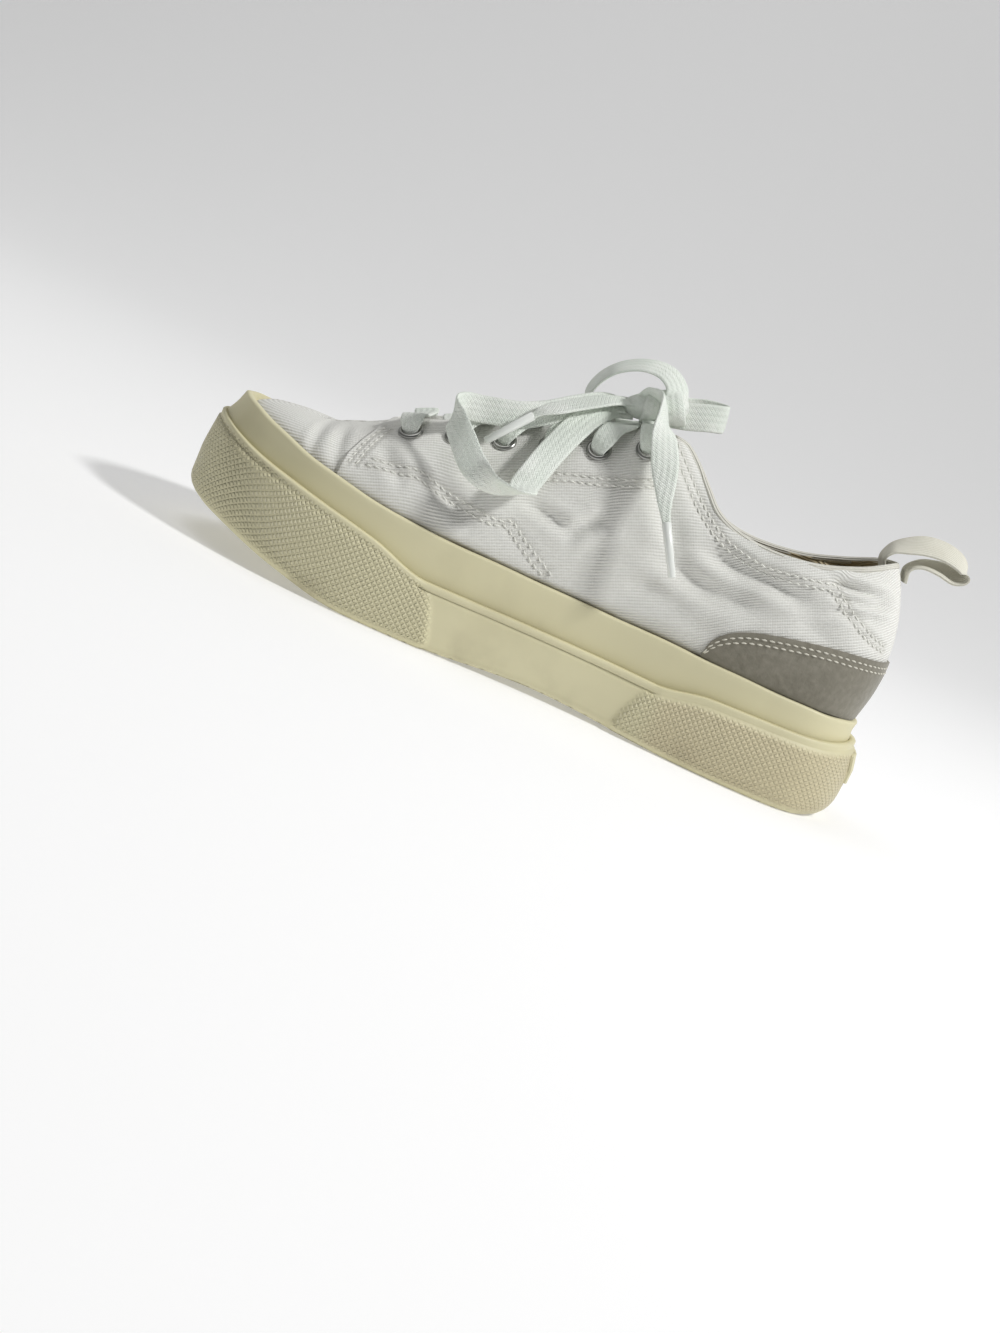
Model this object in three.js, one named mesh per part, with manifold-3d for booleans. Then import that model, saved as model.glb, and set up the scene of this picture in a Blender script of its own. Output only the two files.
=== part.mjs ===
// Right canvas sneaker, about EU 38.5, standing empty on its sole.
// Millimetres: x runs from heel to toe, y towards the inner side of the foot, z up from the floor.
import * as THREE from "three";
import { mergeVertices } from "three/addons/utils/BufferGeometryUtils.js";
import Module from "manifold-3d";

const wasm = await Module();
wasm.setup();
const { clamp, degToRad, lerp, smoothstep } = THREE.MathUtils;

// Overall sizes
const soleLength = 280;
const ballWidth = 102;
const rubberHeight = 40; // floor to the top of the side band at the waist
const upperHeight = 108; // floor to the top corner of the eyestay

// Thicknesses and gaps
const canvasThickness = 1.6;
const quarterStep = 0.7; // how far the quarters stand out over the vamp
const suedeThickness = 1.1;
const bandThickness = 2.6;
const tongueThickness = 2.2;
const insoleThickness = 3.5;
const clearance = 0.3;

// Sole details
const bandInset = 6; // from the sole's outline to the outer face of the band
const toeBandShare = 0.65; // how much of bandInset is left at the toe's foot of the band
const padStep = 1.2; // how far the toe and heel pads stand out of the waist
const beadHeight = 3.2;
const beadStep = 0.9;
const labelWidth = 26;
const labelHeight = 12;
const labelThickness = 0.9;
const labelCentre = 0.55; // share of rubberHeight

// Throat, eyelets and lace
const eyeletCount = 6;
const eyeletRadius = 4.8;
const eyeletBore = 2.6;
const barrelRadius = 3.2;
const flangeHeight = 0.9;
const eyeletGap = 0.85; // under the ring, over the rounding canvas
const eyeletSide = 19.5; // from the middle of the tongue
const throatHalfWidth = 9.5;
const tongueMargin = 6; // of the tongue's back past the eyelet rows
const tongueRounding = 9;
const laceWidth = 9.5;
const laceThickness = 1.3;
const looseWidth = 10.5; // of the lace where nothing gathers it
const agletLength = 20;
const agletRadius = 1.7;

// Pull loop at the heel
const webbingWidth = 14;
const webbingThickness = 1.4;
const webbingTilt = 28; // degrees, the inner edge lower
const pullReach = 24;

// Places along the shoe, as shares of soleLength from the heel
const heelCentre = 0.15;
const toeCentre = 0.857;
const firstEyelet = 0.739;
const lastEyelet = 0.443;
const throatFront = 0.772;
const tongueFront = 0.8;
const tongueBack = 0.378;

// Number of samples
const around = 60;
const arcSteps = 7;

// The sole's outline, seen from above: inner side from heel to toe, then back along the outer side.
// along is a share of soleLength from the heel, side a share of ballWidth.
const outlineTable = [
  { along: 0, side: 0 },
  { along: 0.02, side: 0.195 },
  { along: 0.075, side: 0.325 },
  { along: 0.165, side: 0.368 },
  { along: 0.28, side: 0.362 },
  { along: 0.39, side: 0.352 },
  { along: 0.5, side: 0.378 },
  { along: 0.61, side: 0.428 },
  { along: 0.725, side: 0.459 },
  { along: 0.83, side: 0.443 },
  { along: 0.91, side: 0.37 },
  { along: 0.97, side: 0.24 },
  { along: 1, side: 0.07 },
  { along: 0.985, side: -0.11 },
  { along: 0.93, side: -0.29 },
  { along: 0.85, side: -0.43 },
  { along: 0.755, side: -0.515 },
  { along: 0.655, side: -0.541 },
  { along: 0.55, side: -0.487 },
  { along: 0.44, side: -0.408 },
  { along: 0.33, side: -0.365 },
  { along: 0.22, side: -0.355 },
  { along: 0.12, side: -0.335 },
  { along: 0.04, side: -0.25 },
];
const tipShare = 0.5; // where the toe's tip lies on the outline curve

// Sections of the sole's outer side. All lengths are shares of rubberHeight: tread is the underside,
// corner and rise the size of the lower rounding, lean how far the wall comes out on its way up, and
// shoulder how far it goes back in at its top.
const wallTable = [
  { along: 0, tread: 0.055, corner: 0.11, rise: 0.22, lean: 0, shoulder: 0.08 },
  { along: 0.07, tread: 0, corner: 0.11, rise: 0.2, lean: 0, shoulder: 0.054 },
  { along: 0.23, tread: 0, corner: 0.09, rise: 0.13, lean: 0, shoulder: 0.045 },
  { along: 0.305, tread: 0.02, corner: 0.07, rise: 0.1, lean: 0, shoulder: 0.03 },
  { along: 0.45, tread: 0.065, corner: 0.065, rise: 0.1, lean: 0, shoulder: 0.03 },
  { along: 0.63, tread: 0, corner: 0.07, rise: 0.1, lean: 0, shoulder: 0.03 },
  { along: 0.715, tread: 0, corner: 0.09, rise: 0.13, lean: 0, shoulder: 0.03 },
  { along: 0.83, tread: 0.12, corner: 0.12, rise: 0.16, lean: 0.005, shoulder: 0.035 },
  { along: 0.91, tread: 0.235, corner: 0.15, rise: 0.17, lean: 0.01, shoulder: 0.05 },
  { along: 1, tread: 0.34, corner: 0.18, rise: 0.15, lean: 0, shoulder: 0.054 },
];

// Sections of the sole's rim, as shares of rubberHeight: ridge is the top of the outer wall, band the
// top of the side band, seat what band and upper stand on, floor what the insole lies on, and tuck how
// far band and upper sit further in.
const rimTable = [
  { along: 0, ridge: 0.81, band: 0.985, seat: 0.65, floor: 0.8, tuck: 0 },
  { along: 0.07, ridge: 0.75, band: 0.99, seat: 0.6, floor: 0.79, tuck: 0 },
  { along: 0.23, ridge: 0.695, band: 0.985, seat: 0.55, floor: 0.76, tuck: 0 },
  { along: 0.305, ridge: 0.6, band: 0.995, seat: 0.45, floor: 0.73, tuck: 0 },
  { along: 0.45, ridge: 0.6, band: 0.985, seat: 0.45, floor: 0.69, tuck: 0 },
  { along: 0.63, ridge: 0.6, band: 1.012, seat: 0.45, floor: 0.64, tuck: 0 },
  { along: 0.715, ridge: 0.76, band: 1.05, seat: 0.56, floor: 0.64, tuck: 0 },
  { along: 0.83, ridge: 0.905, band: 1.165, seat: 0.6, floor: 0.7, tuck: 0 },
  { along: 0.91, ridge: 1, band: 1.29, seat: 0.67, floor: 0.77, tuck: 0.015 },
  { along: 1, ridge: 1.165, band: 1.4, seat: 0.75, floor: 0.85, tuck: 0.045 },
];

// Sections of the upper: ridge is its crown and widest the height where it is broadest, as shares of
// upperHeight, bulge how far it swells over its seat, as a share of ballWidth, and round the exponent
// of the arch from widest to ridge, 2 for an ellipse and more for a boxier one.
const upperTable = [
  { along: 0.03, ridge: 1.037, widest: 0.537, bulge: 0.0216, round: 1.9 },
  { along: 0.15, ridge: 1.037, widest: 0.52, bulge: 0.0216, round: 2 },
  { along: 0.2, ridge: 1.015, widest: 0.495, bulge: 0.0216, round: 2.3 },
  { along: 0.29, ridge: 0.99, widest: 0.444, bulge: 0.016, round: 1.93 },
  { along: 0.357, ridge: 0.988, widest: 0.426, bulge: 0.015, round: 2.02 },
  { along: 0.42, ridge: 1.009, widest: 0.407, bulge: 0.013, round: 2.8 },
  { along: 0.5, ridge: 0.935, widest: 0.389, bulge: 0.01, round: 2.38 },
  { along: 0.6, ridge: 0.833, widest: 0.387, bulge: 0.005, round: 1.97 },
  { along: 0.714, ridge: 0.724, widest: 0.385, bulge: 0, round: 1.7 },
  { along: 0.771, ridge: 0.642, widest: 0.388, bulge: 0, round: 1.8 },
  { along: 0.825, ridge: 0.569, widest: 0.395, bulge: 0, round: 2.1 },
  { along: 0.857, ridge: 0.541, widest: 0.42, bulge: 0, round: 2.3 },
  { along: 0.96, ridge: 0.541, widest: 0.455, bulge: 0, round: 2.8 },
];

// Side views of the upper's cuts: along is a share of soleLength from the heel, up of upperHeight.
const collarLine = [
  { along: 0.062, up: 0.93 },
  { along: 0.082, up: 0.914 },
  { along: 0.125, up: 0.861 },
  { along: 0.179, up: 0.811 },
  { along: 0.25, up: 0.787 },
  { along: 0.293, up: 0.799 },
  { along: 0.325, up: 0.832 },
  { along: 0.35, up: 0.89 },
  { along: 0.379, up: 0.958 },
  { along: 0.4, up: 0.992 },
  { along: 0.425, up: 1.0 },
];
const collarDrop = 2.4; // how much lower the outer side of the collar lies
const quarterLine = [
  { along: 0.8, up: 0.3 },
  { along: 0.797, up: 0.5 },
  { along: 0.79, up: 0.555 },
  { along: 0.78, up: 0.61 },
  { along: 0.77, up: 0.65 },
  { along: 0.762, up: 0.75 },
];
// Here up is a share of the height between the rubber and the eyestay's top corner.
const counterLine = [
  { along: 0.266, up: 0.012 },
  { along: 0.262, up: 0.095 },
  { along: 0.25, up: 0.166 },
  { along: 0.225, up: 0.23 },
  { along: 0.19, up: 0.278 },
  { along: 0.12, up: 0.341 },
  { along: 0.06, up: 0.365 },
  { along: -0.05, up: 0.369 },
];

// Position along the shoe of a share of its length.
const place = (share) => (share - 0.5) * soleLength;

// A smooth curve through one column of a table, which never runs past its rows.
function column(table, name, unit) {
  const x = table.map((row) => place(row.along));
  const y = table.map((row) => row[name] * unit);
  const slopes = x.slice(1).map((right, i) => (y[i + 1] - y[i]) / (right - x[i]));
  const tangents = y.map((_, i) => {
    const before = slopes[Math.max(i - 1, 0)];
    const after = slopes[Math.min(i, slopes.length - 1)];
    return before * after > 0 ? (2 * before * after) / (before + after) : 0;
  });
  return (at) => {
    const p = clamp(at, x[0], x.at(-1));
    const i = Math.max(x.findIndex((right) => right >= p) - 1, 0);
    const width = x[i + 1] - x[i];
    const t = (p - x[i]) / width;
    const rise = y[i + 1] - y[i];
    const start = tangents[i] * width;
    const end = tangents[i + 1] * width;
    return y[i] + t * (start + t * (3 * rise - 2 * start - end + t * (start + end - 2 * rise)));
  };
}

const columns = (table, unit) =>
  Object.fromEntries(Object.keys(table[0]).map((name) => [name, column(table, name, unit)]));
const sole = { ...columns(wallTable, rubberHeight), ...columns(rimTable, rubberHeight) };
const upper = {
  ridge: column(upperTable, "ridge", upperHeight),
  widest: column(upperTable, "widest", upperHeight),
  bulge: column(upperTable, "bulge", ballWidth),
  round: column(upperTable, "round", 1),
};

const outline = new THREE.CatmullRomCurve3(
  outlineTable.map((row) => new THREE.Vector3(place(row.along), row.side * ballWidth, 0)),
  true,
  "centripetal",
);

// A point of the outline, moved in from the sole's edge; u runs from 0 to 1 round the shoe.
function plan(u, inset) {
  const point = outline.getPoint(u);
  const ahead = outline.getTangent(u);
  return new THREE.Vector3(point.x + ahead.y * inset, point.y - ahead.x * inset, 0);
}

// The point on the shoe's middle line that a section through the given point starts from.
function middle(point) {
  return new THREE.Vector3(clamp(point.x, place(heelCentre), place(toeCentre)), 0, 0);
}

const samples = Array.from({ length: around }, (_, i) => i / around);
const ring = (at) => samples.map(at);

// Closes a ring with triangles between its two sides, from heel to toe, looking up or down.
function endFace(points, first, up) {
  const index = [];
  let near = 0;
  let far = points.length - 1;
  while (far - near > 1) {
    const stepNear = points[near + 1].x <= points[far - 1].x;
    const corners = stepNear ? [near, near + 1, far] : [near, far - 1, far];
    if (up) corners.reverse();
    index.push(...corners.map((i) => i + first));
    if (stepNear) near += 1;
    else far -= 1;
  }
  return index;
}

// A closed skin through rings of points, each ring clockwise seen from above, the first one lowest.
// A looped skin joins its last ring to its first, and any other gets a face at each end.
function loft(rings, looped = false) {
  const count = rings[0].length;
  const index = [];
  const joins = looped ? rings.length : rings.length - 1;
  for (let r = 0; r < joins; r += 1) {
    for (let i = 0; i < count; i += 1) {
      const next = (i + 1) % count;
      const above = ((r + 1) % rings.length) * count;
      const [a, b, c, d] = [r * count + i, r * count + next, above + next, above + i];
      index.push(a, d, b, b, d, c);
    }
  }
  if (!looped) {
    index.push(...endFace(rings[0], 0, false));
    index.push(...endFace(rings.at(-1), (rings.length - 1) * count, true));
  }
  const geometry = new THREE.BufferGeometry().setFromPoints(rings.flat());
  return geometry.setIndex(index);
}

// A geometry as a solid that can be joined and cut.
function solid(geometry) {
  const bare = geometry.clone();
  bare.deleteAttribute("normal");
  bare.deleteAttribute("uv");
  const merged = mergeVertices(bare, 1e-4);
  return new wasm.Manifold(
    new wasm.Mesh({
      numProp: 3,
      vertProperties: new Float32Array(merged.attributes.position.array),
      triVerts: new Uint32Array(merged.index.array),
    }),
  );
}

// A solid back as a geometry.
function geometryOf(body) {
  const mesh = body.getMesh();
  const geometry = new THREE.BufferGeometry();
  geometry.setAttribute("position", new THREE.BufferAttribute(new Float32Array(mesh.vertProperties), 3));
  geometry.setIndex(new THREE.BufferAttribute(new Uint32Array(mesh.triVerts), 1));
  return geometry;
}

// A closed curtain across the shoe, with the given outline in side view.
function sideCurtain(points, tilt = 0) {
  const reach = ballWidth;
  const options = { depth: 2 * reach, bevelEnabled: false };
  const geometry = new THREE.ExtrudeGeometry(new THREE.Shape(points), options);
  geometry.rotateX(Math.PI / 2).translate(0, reach, 0);
  return solid(geometry.rotateX(tilt));
}

// A closed curtain standing up through the shoe, with the given outline seen from above.
function plumbCurtain(points, low, high) {
  const options = { depth: high - low, bevelEnabled: false };
  const geometry = new THREE.ExtrudeGeometry(new THREE.Shape(points), options);
  return solid(geometry.translate(0, 0, low));
}

// A smooth line in side view, its heights counted from the given floor up to upperHeight.
function sideCurve(table, steps, floor = 0) {
  const points = table.map((row) => new THREE.Vector2(place(row.along), lerp(floor, upperHeight, row.up)));
  return new THREE.SplineCurve(points).getPoints(steps);
}

// Where band and upper stand, in from the sole's edge
const bandInside = bandInset + bandThickness;
const upperInset = bandInside + clearance + quarterStep;
const blockInset = upperInset + canvasThickness + clearance;
// The band's foot stands closer to the edge at the toe, and its face leans in from there.
const bandFoot = (x) => bandInset * lerp(1, toeBandShare, smoothstep(x, place(0.86), place(0.98)));

// Rings of the sole's outer side, from the tread's middle up to the ridge; grow makes them larger.
function soleSide(grow) {
  const treadRing = (share) =>
    ring((u) => {
      const edge = plan(u, sole.corner(outline.getPoint(u).x) + bandInset / 2 - grow);
      const point = middle(edge).lerp(edge, share);
      point.z = sole.tread(point.x);
      return point;
    });
  const cornerRing = (angle) =>
    ring((u) => {
      const x = outline.getPoint(u).x;
      const inset = sole.corner(x) * (1 - Math.sin(angle)) + sole.lean(x) + waistStep(x, 0);
      const point = plan(u, inset - grow);
      point.z = sole.tread(point.x) + sole.rise(x) * (1 - Math.cos(angle));
      return point;
    });
  const wallRing = (share, shoulderShare) =>
    ring((u) => {
      const x = outline.getPoint(u).x;
      const low = sole.tread(x) + sole.rise(x);
      const height = lerp(low, sole.ridge(x) - beadHeight, share);
      const inset = lerp(sole.lean(x), 0, share) + sole.shoulder(x) * shoulderShare;
      const point = plan(u, inset + waistStep(x, share) - grow);
      point.z = height;
      return point;
    });
  const beadRing = (drop, inset) =>
    ring((u) => {
      const x = outline.getPoint(u).x;
      const bead = waistStep(x, 1) > padStep / 2 ? beadStep : 0;
      const point = plan(u, sole.shoulder(x) + waistStep(x, 1) - bead + inset - grow);
      point.z = sole.ridge(x) - drop;
      return point;
    });
  return [
    ...[0.04, 0.5, 1].map(treadRing),
    ...[20, 50, 90].map((angle) => cornerRing(degToRad(angle))),
    wallRing(0.6, 0.1),
    wallRing(1, 0.7),
    beadRing(beadHeight * 0.7, 0),
    beadRing(beadHeight * 0.3, 0),
    beadRing(0, 1.2),
  ];
}

// How far the smooth waist lies behind the toe and heel pads; the pads' ends lean forward as they rise.
function waistStep(x, share) {
  const toePad = place(lerp(0.603, 0.63, share));
  const heelPad = place(lerp(0.333, 0.314, share));
  const fade = 3;
  const afterHeel = smoothstep(x, heelPad - fade, heelPad + fade);
  const beforeToe = 1 - smoothstep(x, toePad - fade, toePad + fade);
  return padStep * afterHeel * beforeToe;
}

// Outsole: tread, outer wall with its bead, the rebate for band and upper, and the block under the insole.
function outsoleGeometry() {
  const topRing = (inset, height) =>
    ring((u) => {
      const x = outline.getPoint(u).x;
      const point = plan(u, inset + sole.tuck(x));
      point.z = height(x);
      return point;
    });
  const blockRing = (share) =>
    ring((u) => {
      const edge = plan(u, blockInset + sole.tuck(outline.getPoint(u).x));
      const point = middle(edge).lerp(edge, share);
      point.z = sole.floor(point.x);
      return point;
    });
  return loft([
    ...soleSide(0),
    ring((u) => {
      const x = outline.getPoint(u).x;
      const point = plan(u, bandFoot(x) - clearance);
      point.z = sole.ridge(x) - clearance;
      return point;
    }),
    ring((u) => {
      const x = outline.getPoint(u).x;
      const point = plan(u, bandFoot(x) - clearance);
      point.z = sole.seat(x);
      return point;
    }),
    topRing(blockInset, sole.seat),
    blockRing(1),
    blockRing(0.04),
  ]);
}

// Foxing: the smooth rubber band round the foot of the upper.
function bandGeometry() {
  const bandRing = (inset, height, lean) =>
    ring((u) => {
      const x = outline.getPoint(u).x;
      const point = plan(u, inset(x) + sole.tuck(x) * lean);
      point.z = height(x);
      return point;
    });
  const low = (x) => sole.seat(x) + clearance;
  const edge = 0.8;
  return loft(
    [
      bandRing(bandFoot, low, 0),
      bandRing(bandFoot, sole.ridge, 0),
      bandRing(() => bandInset, (x) => sole.band(x) - edge, 0.9),
      bandRing(() => bandInset + edge, sole.band, 1),
      bandRing(() => bandInside, sole.band, 1),
      bandRing(() => bandInside, low, 1),
    ],
    true,
  );
}

// Insole, lying on the block.
function insoleGeometry() {
  const insoleRing = (inset, lift, share) =>
    ring((u) => {
      const edge = plan(u, blockInset + inset + sole.tuck(outline.getPoint(u).x));
      const point = middle(edge).lerp(edge, share);
      point.z = sole.floor(point.x) + clearance + lift;
      return point;
    });
  const rounding = 0.9;
  return loft([
    insoleRing(clearance, 0, 0.04),
    insoleRing(clearance, 0, 1),
    insoleRing(clearance, insoleThickness - rounding, 1),
    insoleRing(clearance + rounding, insoleThickness, 1),
    insoleRing(clearance + rounding, insoleThickness, 0.04),
  ]);
}

// The whole shape of the last, larger by grow and standing drop lower than the upper's seat.
function lastForm(grow, drop = 0) {
  const low = (x) => sole.seat(x) + clearance - drop;
  const footRing = (share) =>
    ring((u) => {
      const x = outline.getPoint(u).x;
      const edge = plan(u, upperInset + sole.tuck(x) - grow);
      const point = middle(edge).lerp(edge, share);
      point.z = low(x);
      return point;
    });
  const wallRing = (share) =>
    ring((u) => {
      const x = outline.getPoint(u).x;
      const start = Math.min(sole.band(x) + clearance, upper.widest(x) - clearance);
      const swell = upper.bulge(x) * Math.sin((share * Math.PI) / 2);
      const point = plan(u, upperInset + sole.tuck(x) - swell - grow);
      point.z = lerp(start, upper.widest(x), share);
      return point;
    });
  const archRing = (angle) =>
    ring((u) => {
      const x = outline.getPoint(u).x;
      const edge = plan(u, upperInset + sole.tuck(x) - upper.bulge(x) - grow);
      const power = 2 / upper.round(x);
      const start = middle(edge);
      const point = start.clone().lerp(edge, Math.cos(angle) ** power);
      const crown = upper.ridge(start.x) + grow;
      point.z = lerp(upper.widest(x), crown, Math.sin(angle) ** power);
      return point;
    });
  const nearTop = degToRad(88.5);
  const angles = Array.from({ length: arcSteps }, (_, i) => (nearTop * (i + 1)) / arcSteps);
  const foot = [0.04, 0.7, 1].map(footRing);
  const wall = [0, 0.5, 1].map(wallRing);
  return solid(loft([...foot, ...wall, ...angles.map(archRing)]));
}

// Height of the last's surface over a place between the heel's and the toe's centre.
function lastHeight(x, y, grow) {
  let low = y > 0 ? 0 : 1;
  let high = tipShare;
  for (let step = 0; step < 30; step += 1) {
    const half = (low + high) / 2;
    if (plan(half, upperInset).x < x) low = half;
    else high = half;
  }
  const edge = plan(low, upperInset + sole.tuck(x) - upper.bulge(x) - grow);
  const power = upper.round(x);
  const share = clamp(Math.abs(y / edge.y), 0, 1);
  return lerp(upper.widest(x), upper.ridge(x) + grow, (1 - share ** power) ** (1 / power));
}

// The direction straight out of the last's surface there.
function lastNormal(x, y, grow) {
  const step = 0.5;
  const height = (dx, dy) => lastHeight(x + dx, y + dy, grow);
  const slopeX = (height(step, 0) - height(-step, 0)) / (2 * step);
  const slopeY = (height(0, step) - height(0, -step)) / (2 * step);
  return new THREE.Vector3(-slopeX, -slopeY, 1).normalize();
}

// A frame that stands on the last's surface, with its third axis along that direction.
function lastFrame(x, y, grow) {
  const turn = new THREE.Quaternion().setFromUnitVectors(new THREE.Vector3(0, 0, 1), lastNormal(x, y, grow));
  const foot = new THREE.Vector3(x, y, lastHeight(x, y, grow));
  return new THREE.Matrix4().compose(foot, turn, new THREE.Vector3(1, 1, 1));
}

// Eyelets in two rows beside the throat
const eyeletRows = Array.from({ length: eyeletCount }, (_, row) =>
  place(lerp(firstEyelet, lastEyelet, row / (eyeletCount - 1))),
);
const eyeletPlaces = eyeletRows.flatMap((x, row) => [
  { name: `eyelet_inner_${row + 1}`, frame: lastFrame(x, eyeletSide, quarterStep) },
  { name: `eyelet_outer_${row + 1}`, frame: lastFrame(x, -eyeletSide, quarterStep) },
]);

// Upper: one hollow wall, thicker in the quarters, open at the collar, at the throat and underneath.
function upperSolid() {
  const sky = upperHeight * 1.4;
  const quarter = sideCurtain([
    ...sideCurve(quarterLine, 16),
    new THREE.Vector2(place(throatFront - 0.015), sky),
    new THREE.Vector2(place(-0.2), sky),
    new THREE.Vector2(place(-0.2), 0),
    new THREE.Vector2(place(quarterLine[0].along), 0),
  ]);
  const collar = sideCurve(collarLine, 44);
  const collarCut = sideCurtain(
    [
      new THREE.Vector2(place(-0.2), collar[0].y),
      ...collar,
      new THREE.Vector2(place(lastEyelet), sky),
      new THREE.Vector2(place(-0.2), sky),
    ],
    Math.atan(collarDrop / (2 * eyeletSide)) / 2,
  );
  const inner = lastForm(-canvasThickness, 5);
  const drill = new THREE.CylinderGeometry(barrelRadius + clearance, barrelRadius + clearance, 12, 12);
  drill.rotateX(Math.PI / 2);
  let body = lastForm(0).add(lastForm(quarterStep).intersect(quarter));
  body = body.subtract(inner).subtract(collarCut).subtract(throatCut());
  for (const { frame } of eyeletPlaces) body = body.subtract(solid(drill.clone().applyMatrix4(frame)));
  return body;
}

// The throat, seen from above: parallel edges with a round end towards the toe.
function throatCut() {
  const front = place(throatFront) - throatHalfWidth;
  const back = place(heelCentre);
  const points = [new THREE.Vector2(back, -throatHalfWidth)];
  for (let angle = -90; angle <= 90; angle += 15) {
    const turn = degToRad(angle);
    const arm = new THREE.Vector2(Math.cos(turn), Math.sin(turn)).multiplyScalar(throatHalfWidth);
    points.push(arm.add(new THREE.Vector2(front, 0)));
  }
  points.push(new THREE.Vector2(back, throatHalfWidth));
  return plumbCurtain(points, rubberHeight * 1.2, upperHeight * 1.4);
}

// Tongue: a padded sheet that follows the upper's inside under the throat.
const tongueOutside = -canvasThickness - 3 * clearance;
function tongueSolid() {
  const front = place(tongueFront);
  const back = place(tongueBack);
  const wide = eyeletSide + tongueMargin;
  const narrow = eyeletSide;
  const rounding = tongueRounding;
  const shape = new THREE.Shape();
  shape.moveTo(front, -narrow);
  shape.lineTo(front, narrow);
  shape.lineTo(back + rounding, wide);
  shape.quadraticCurveTo(back, wide, back, wide - rounding);
  shape.lineTo(back, rounding - wide);
  shape.quadraticCurveTo(back, -wide, back + rounding, -wide);
  const outside = tongueOutside;
  const sheet = lastForm(outside).subtract(lastForm(outside - tongueThickness, 5));
  const low = upperHeight * 0.5;
  return sheet.intersect(plumbCurtain(shape.getPoints(6), low, upperHeight * 1.4));
}

// Suede counter round the heel, over the quarters and down to the band.
function counterSolid() {
  const line = sideCurve(counterLine, 28, rubberHeight);
  const steps = 14;
  const lowest = Array.from({ length: steps + 1 }, (_, i) => {
    const x = lerp(line.at(-1).x, line[0].x, i / steps);
    return new THREE.Vector2(x, sole.band(x) + clearance);
  });
  const curtain = sideCurtain([...line, ...lowest]);
  const inside = quarterStep + clearance;
  return lastForm(inside + suedeThickness).subtract(lastForm(inside, 5)).intersect(curtain);
}

// Blank patch on the back of the outsole.
function labelSolid() {
  const half = labelWidth / 2;
  const middleHeight = labelCentre * rubberHeight;
  const corner = 2;
  const shape = new THREE.Shape();
  const low = middleHeight - labelHeight / 2;
  const high = middleHeight + labelHeight / 2;
  shape.moveTo(-half + corner, low);
  shape.lineTo(half - corner, low);
  shape.quadraticCurveTo(half, low, half, low + corner);
  shape.lineTo(half, high - corner);
  shape.quadraticCurveTo(half, high, half - corner, high);
  shape.lineTo(-half + corner, high);
  shape.quadraticCurveTo(-half, high, -half, high - corner);
  shape.lineTo(-half, low + corner);
  shape.quadraticCurveTo(-half, low, -half + corner, low);
  const depth = soleLength / 4;
  const block = new THREE.ExtrudeGeometry(shape, { depth, bevelEnabled: false, curveSegments: 3 });
  block.rotateX(Math.PI / 2).rotateZ(-Math.PI / 2).translate(place(0) + depth / 2, 0, 0);
  const grown = solid(loft(soleSide(clearance + labelThickness)));
  return solid(block).intersect(grown).subtract(solid(loft(soleSide(clearance))));
}

// Eyelet: a metal ring on the canvas with its barrel through the wall.
function eyeletGeometry() {
  const profile = [
    [eyeletBore, -canvasThickness],
    [barrelRadius, -canvasThickness],
    [barrelRadius, eyeletGap],
    [eyeletRadius, eyeletGap],
    [eyeletRadius - 0.8, eyeletGap + flangeHeight],
    [eyeletBore, eyeletGap + 0.7 * flangeHeight],
    [eyeletBore, -canvasThickness],
  ].map(([radius, height]) => new THREE.Vector2(radius, height));
  const geometry = new THREE.LatheGeometry(profile, 10);
  return geometry.rotateX(Math.PI / 2);
}

// A flat strip along points, each with its own direction up, of a section with rounded edges.
function strip(points, ups, width, thickness, rounded = true) {
  const edge = rounded ? 0.32 : 1;
  const halfSection = rounded
    ? [
        [-0.5, -edge / 2],
        [-0.5, edge / 2],
        [-0.42, 0.5],
        [0.42, 0.5],
        [0.5, edge / 2],
        [0.5, -edge / 2],
        [0.42, -0.5],
        [-0.42, -0.5],
      ]
    : [
        [-0.5, -0.5],
        [-0.5, 0.5],
        [0.5, 0.5],
        [0.5, -0.5],
      ];
  const count = halfSection.length;
  const positions = [];
  points.forEach((point, i) => {
    const before = points[Math.max(i - 1, 0)];
    const after = points[Math.min(i + 1, points.length - 1)];
    const ahead = after.clone().sub(before).normalize();
    const across = ups[i].clone().cross(ahead).normalize();
    const up = ahead.clone().cross(across).normalize();
    const wide = Array.isArray(width) ? width[i] : width;
    for (const [side, lift] of halfSection) {
      const corner = point.clone().addScaledVector(across, side * wide);
      positions.push(corner.addScaledVector(up, lift * thickness));
    }
  });
  const index = [];
  for (let i = 0; i < points.length - 1; i += 1) {
    for (let j = 0; j < count; j += 1) {
      const next = (j + 1) % count;
      const [a, b, c, d] = [i * count + j, i * count + next, (i + 1) * count + next, (i + 1) * count + j];
      index.push(a, b, d, b, c, d);
    }
  }
  const last = (points.length - 1) * count;
  for (let j = 1; j < count - 1; j += 1) {
    index.push(0, j + 1, j);
    index.push(last, last + j, last + j + 1);
  }
  const geometry = new THREE.BufferGeometry().setFromPoints(positions).setIndex(index);
  const made = solid(geometry);
  return made.volume() < 0 ? solid(flipped(geometry)) : made;
}

// The same geometry with its faces turned round.
function flipped(geometry) {
  const index = Array.from(geometry.index.array);
  for (let i = 0; i < index.length; i += 3) [index[i + 1], index[i + 2]] = [index[i + 2], index[i + 1]];
  return geometry.clone().setIndex(index);
}

// A point of a lace that lies over the upper, and the direction its flat face looks in there.
// Beside the throat it clears the eyelets' rings, and across the throat it runs from edge to edge.
const laceStart = eyeletSide - eyeletBore - 1;
function laceRow(x, y, lift) {
  const onCanvas = Math.abs(y) > throatHalfWidth;
  const at = onCanvas ? y : Math.sign(y || 1) * throatHalfWidth;
  const point = new THREE.Vector3(x, y, lastHeight(x, at, quarterStep));
  const face = lastNormal(x, onCanvas ? y : 0.01, quarterStep);
  const overRing = onCanvas ? eyeletGap + flangeHeight + 0.2 : clearance;
  point.addScaledVector(face, overRing + clearance + laceThickness / 2 + lift);
  return { point, face };
}

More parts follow.
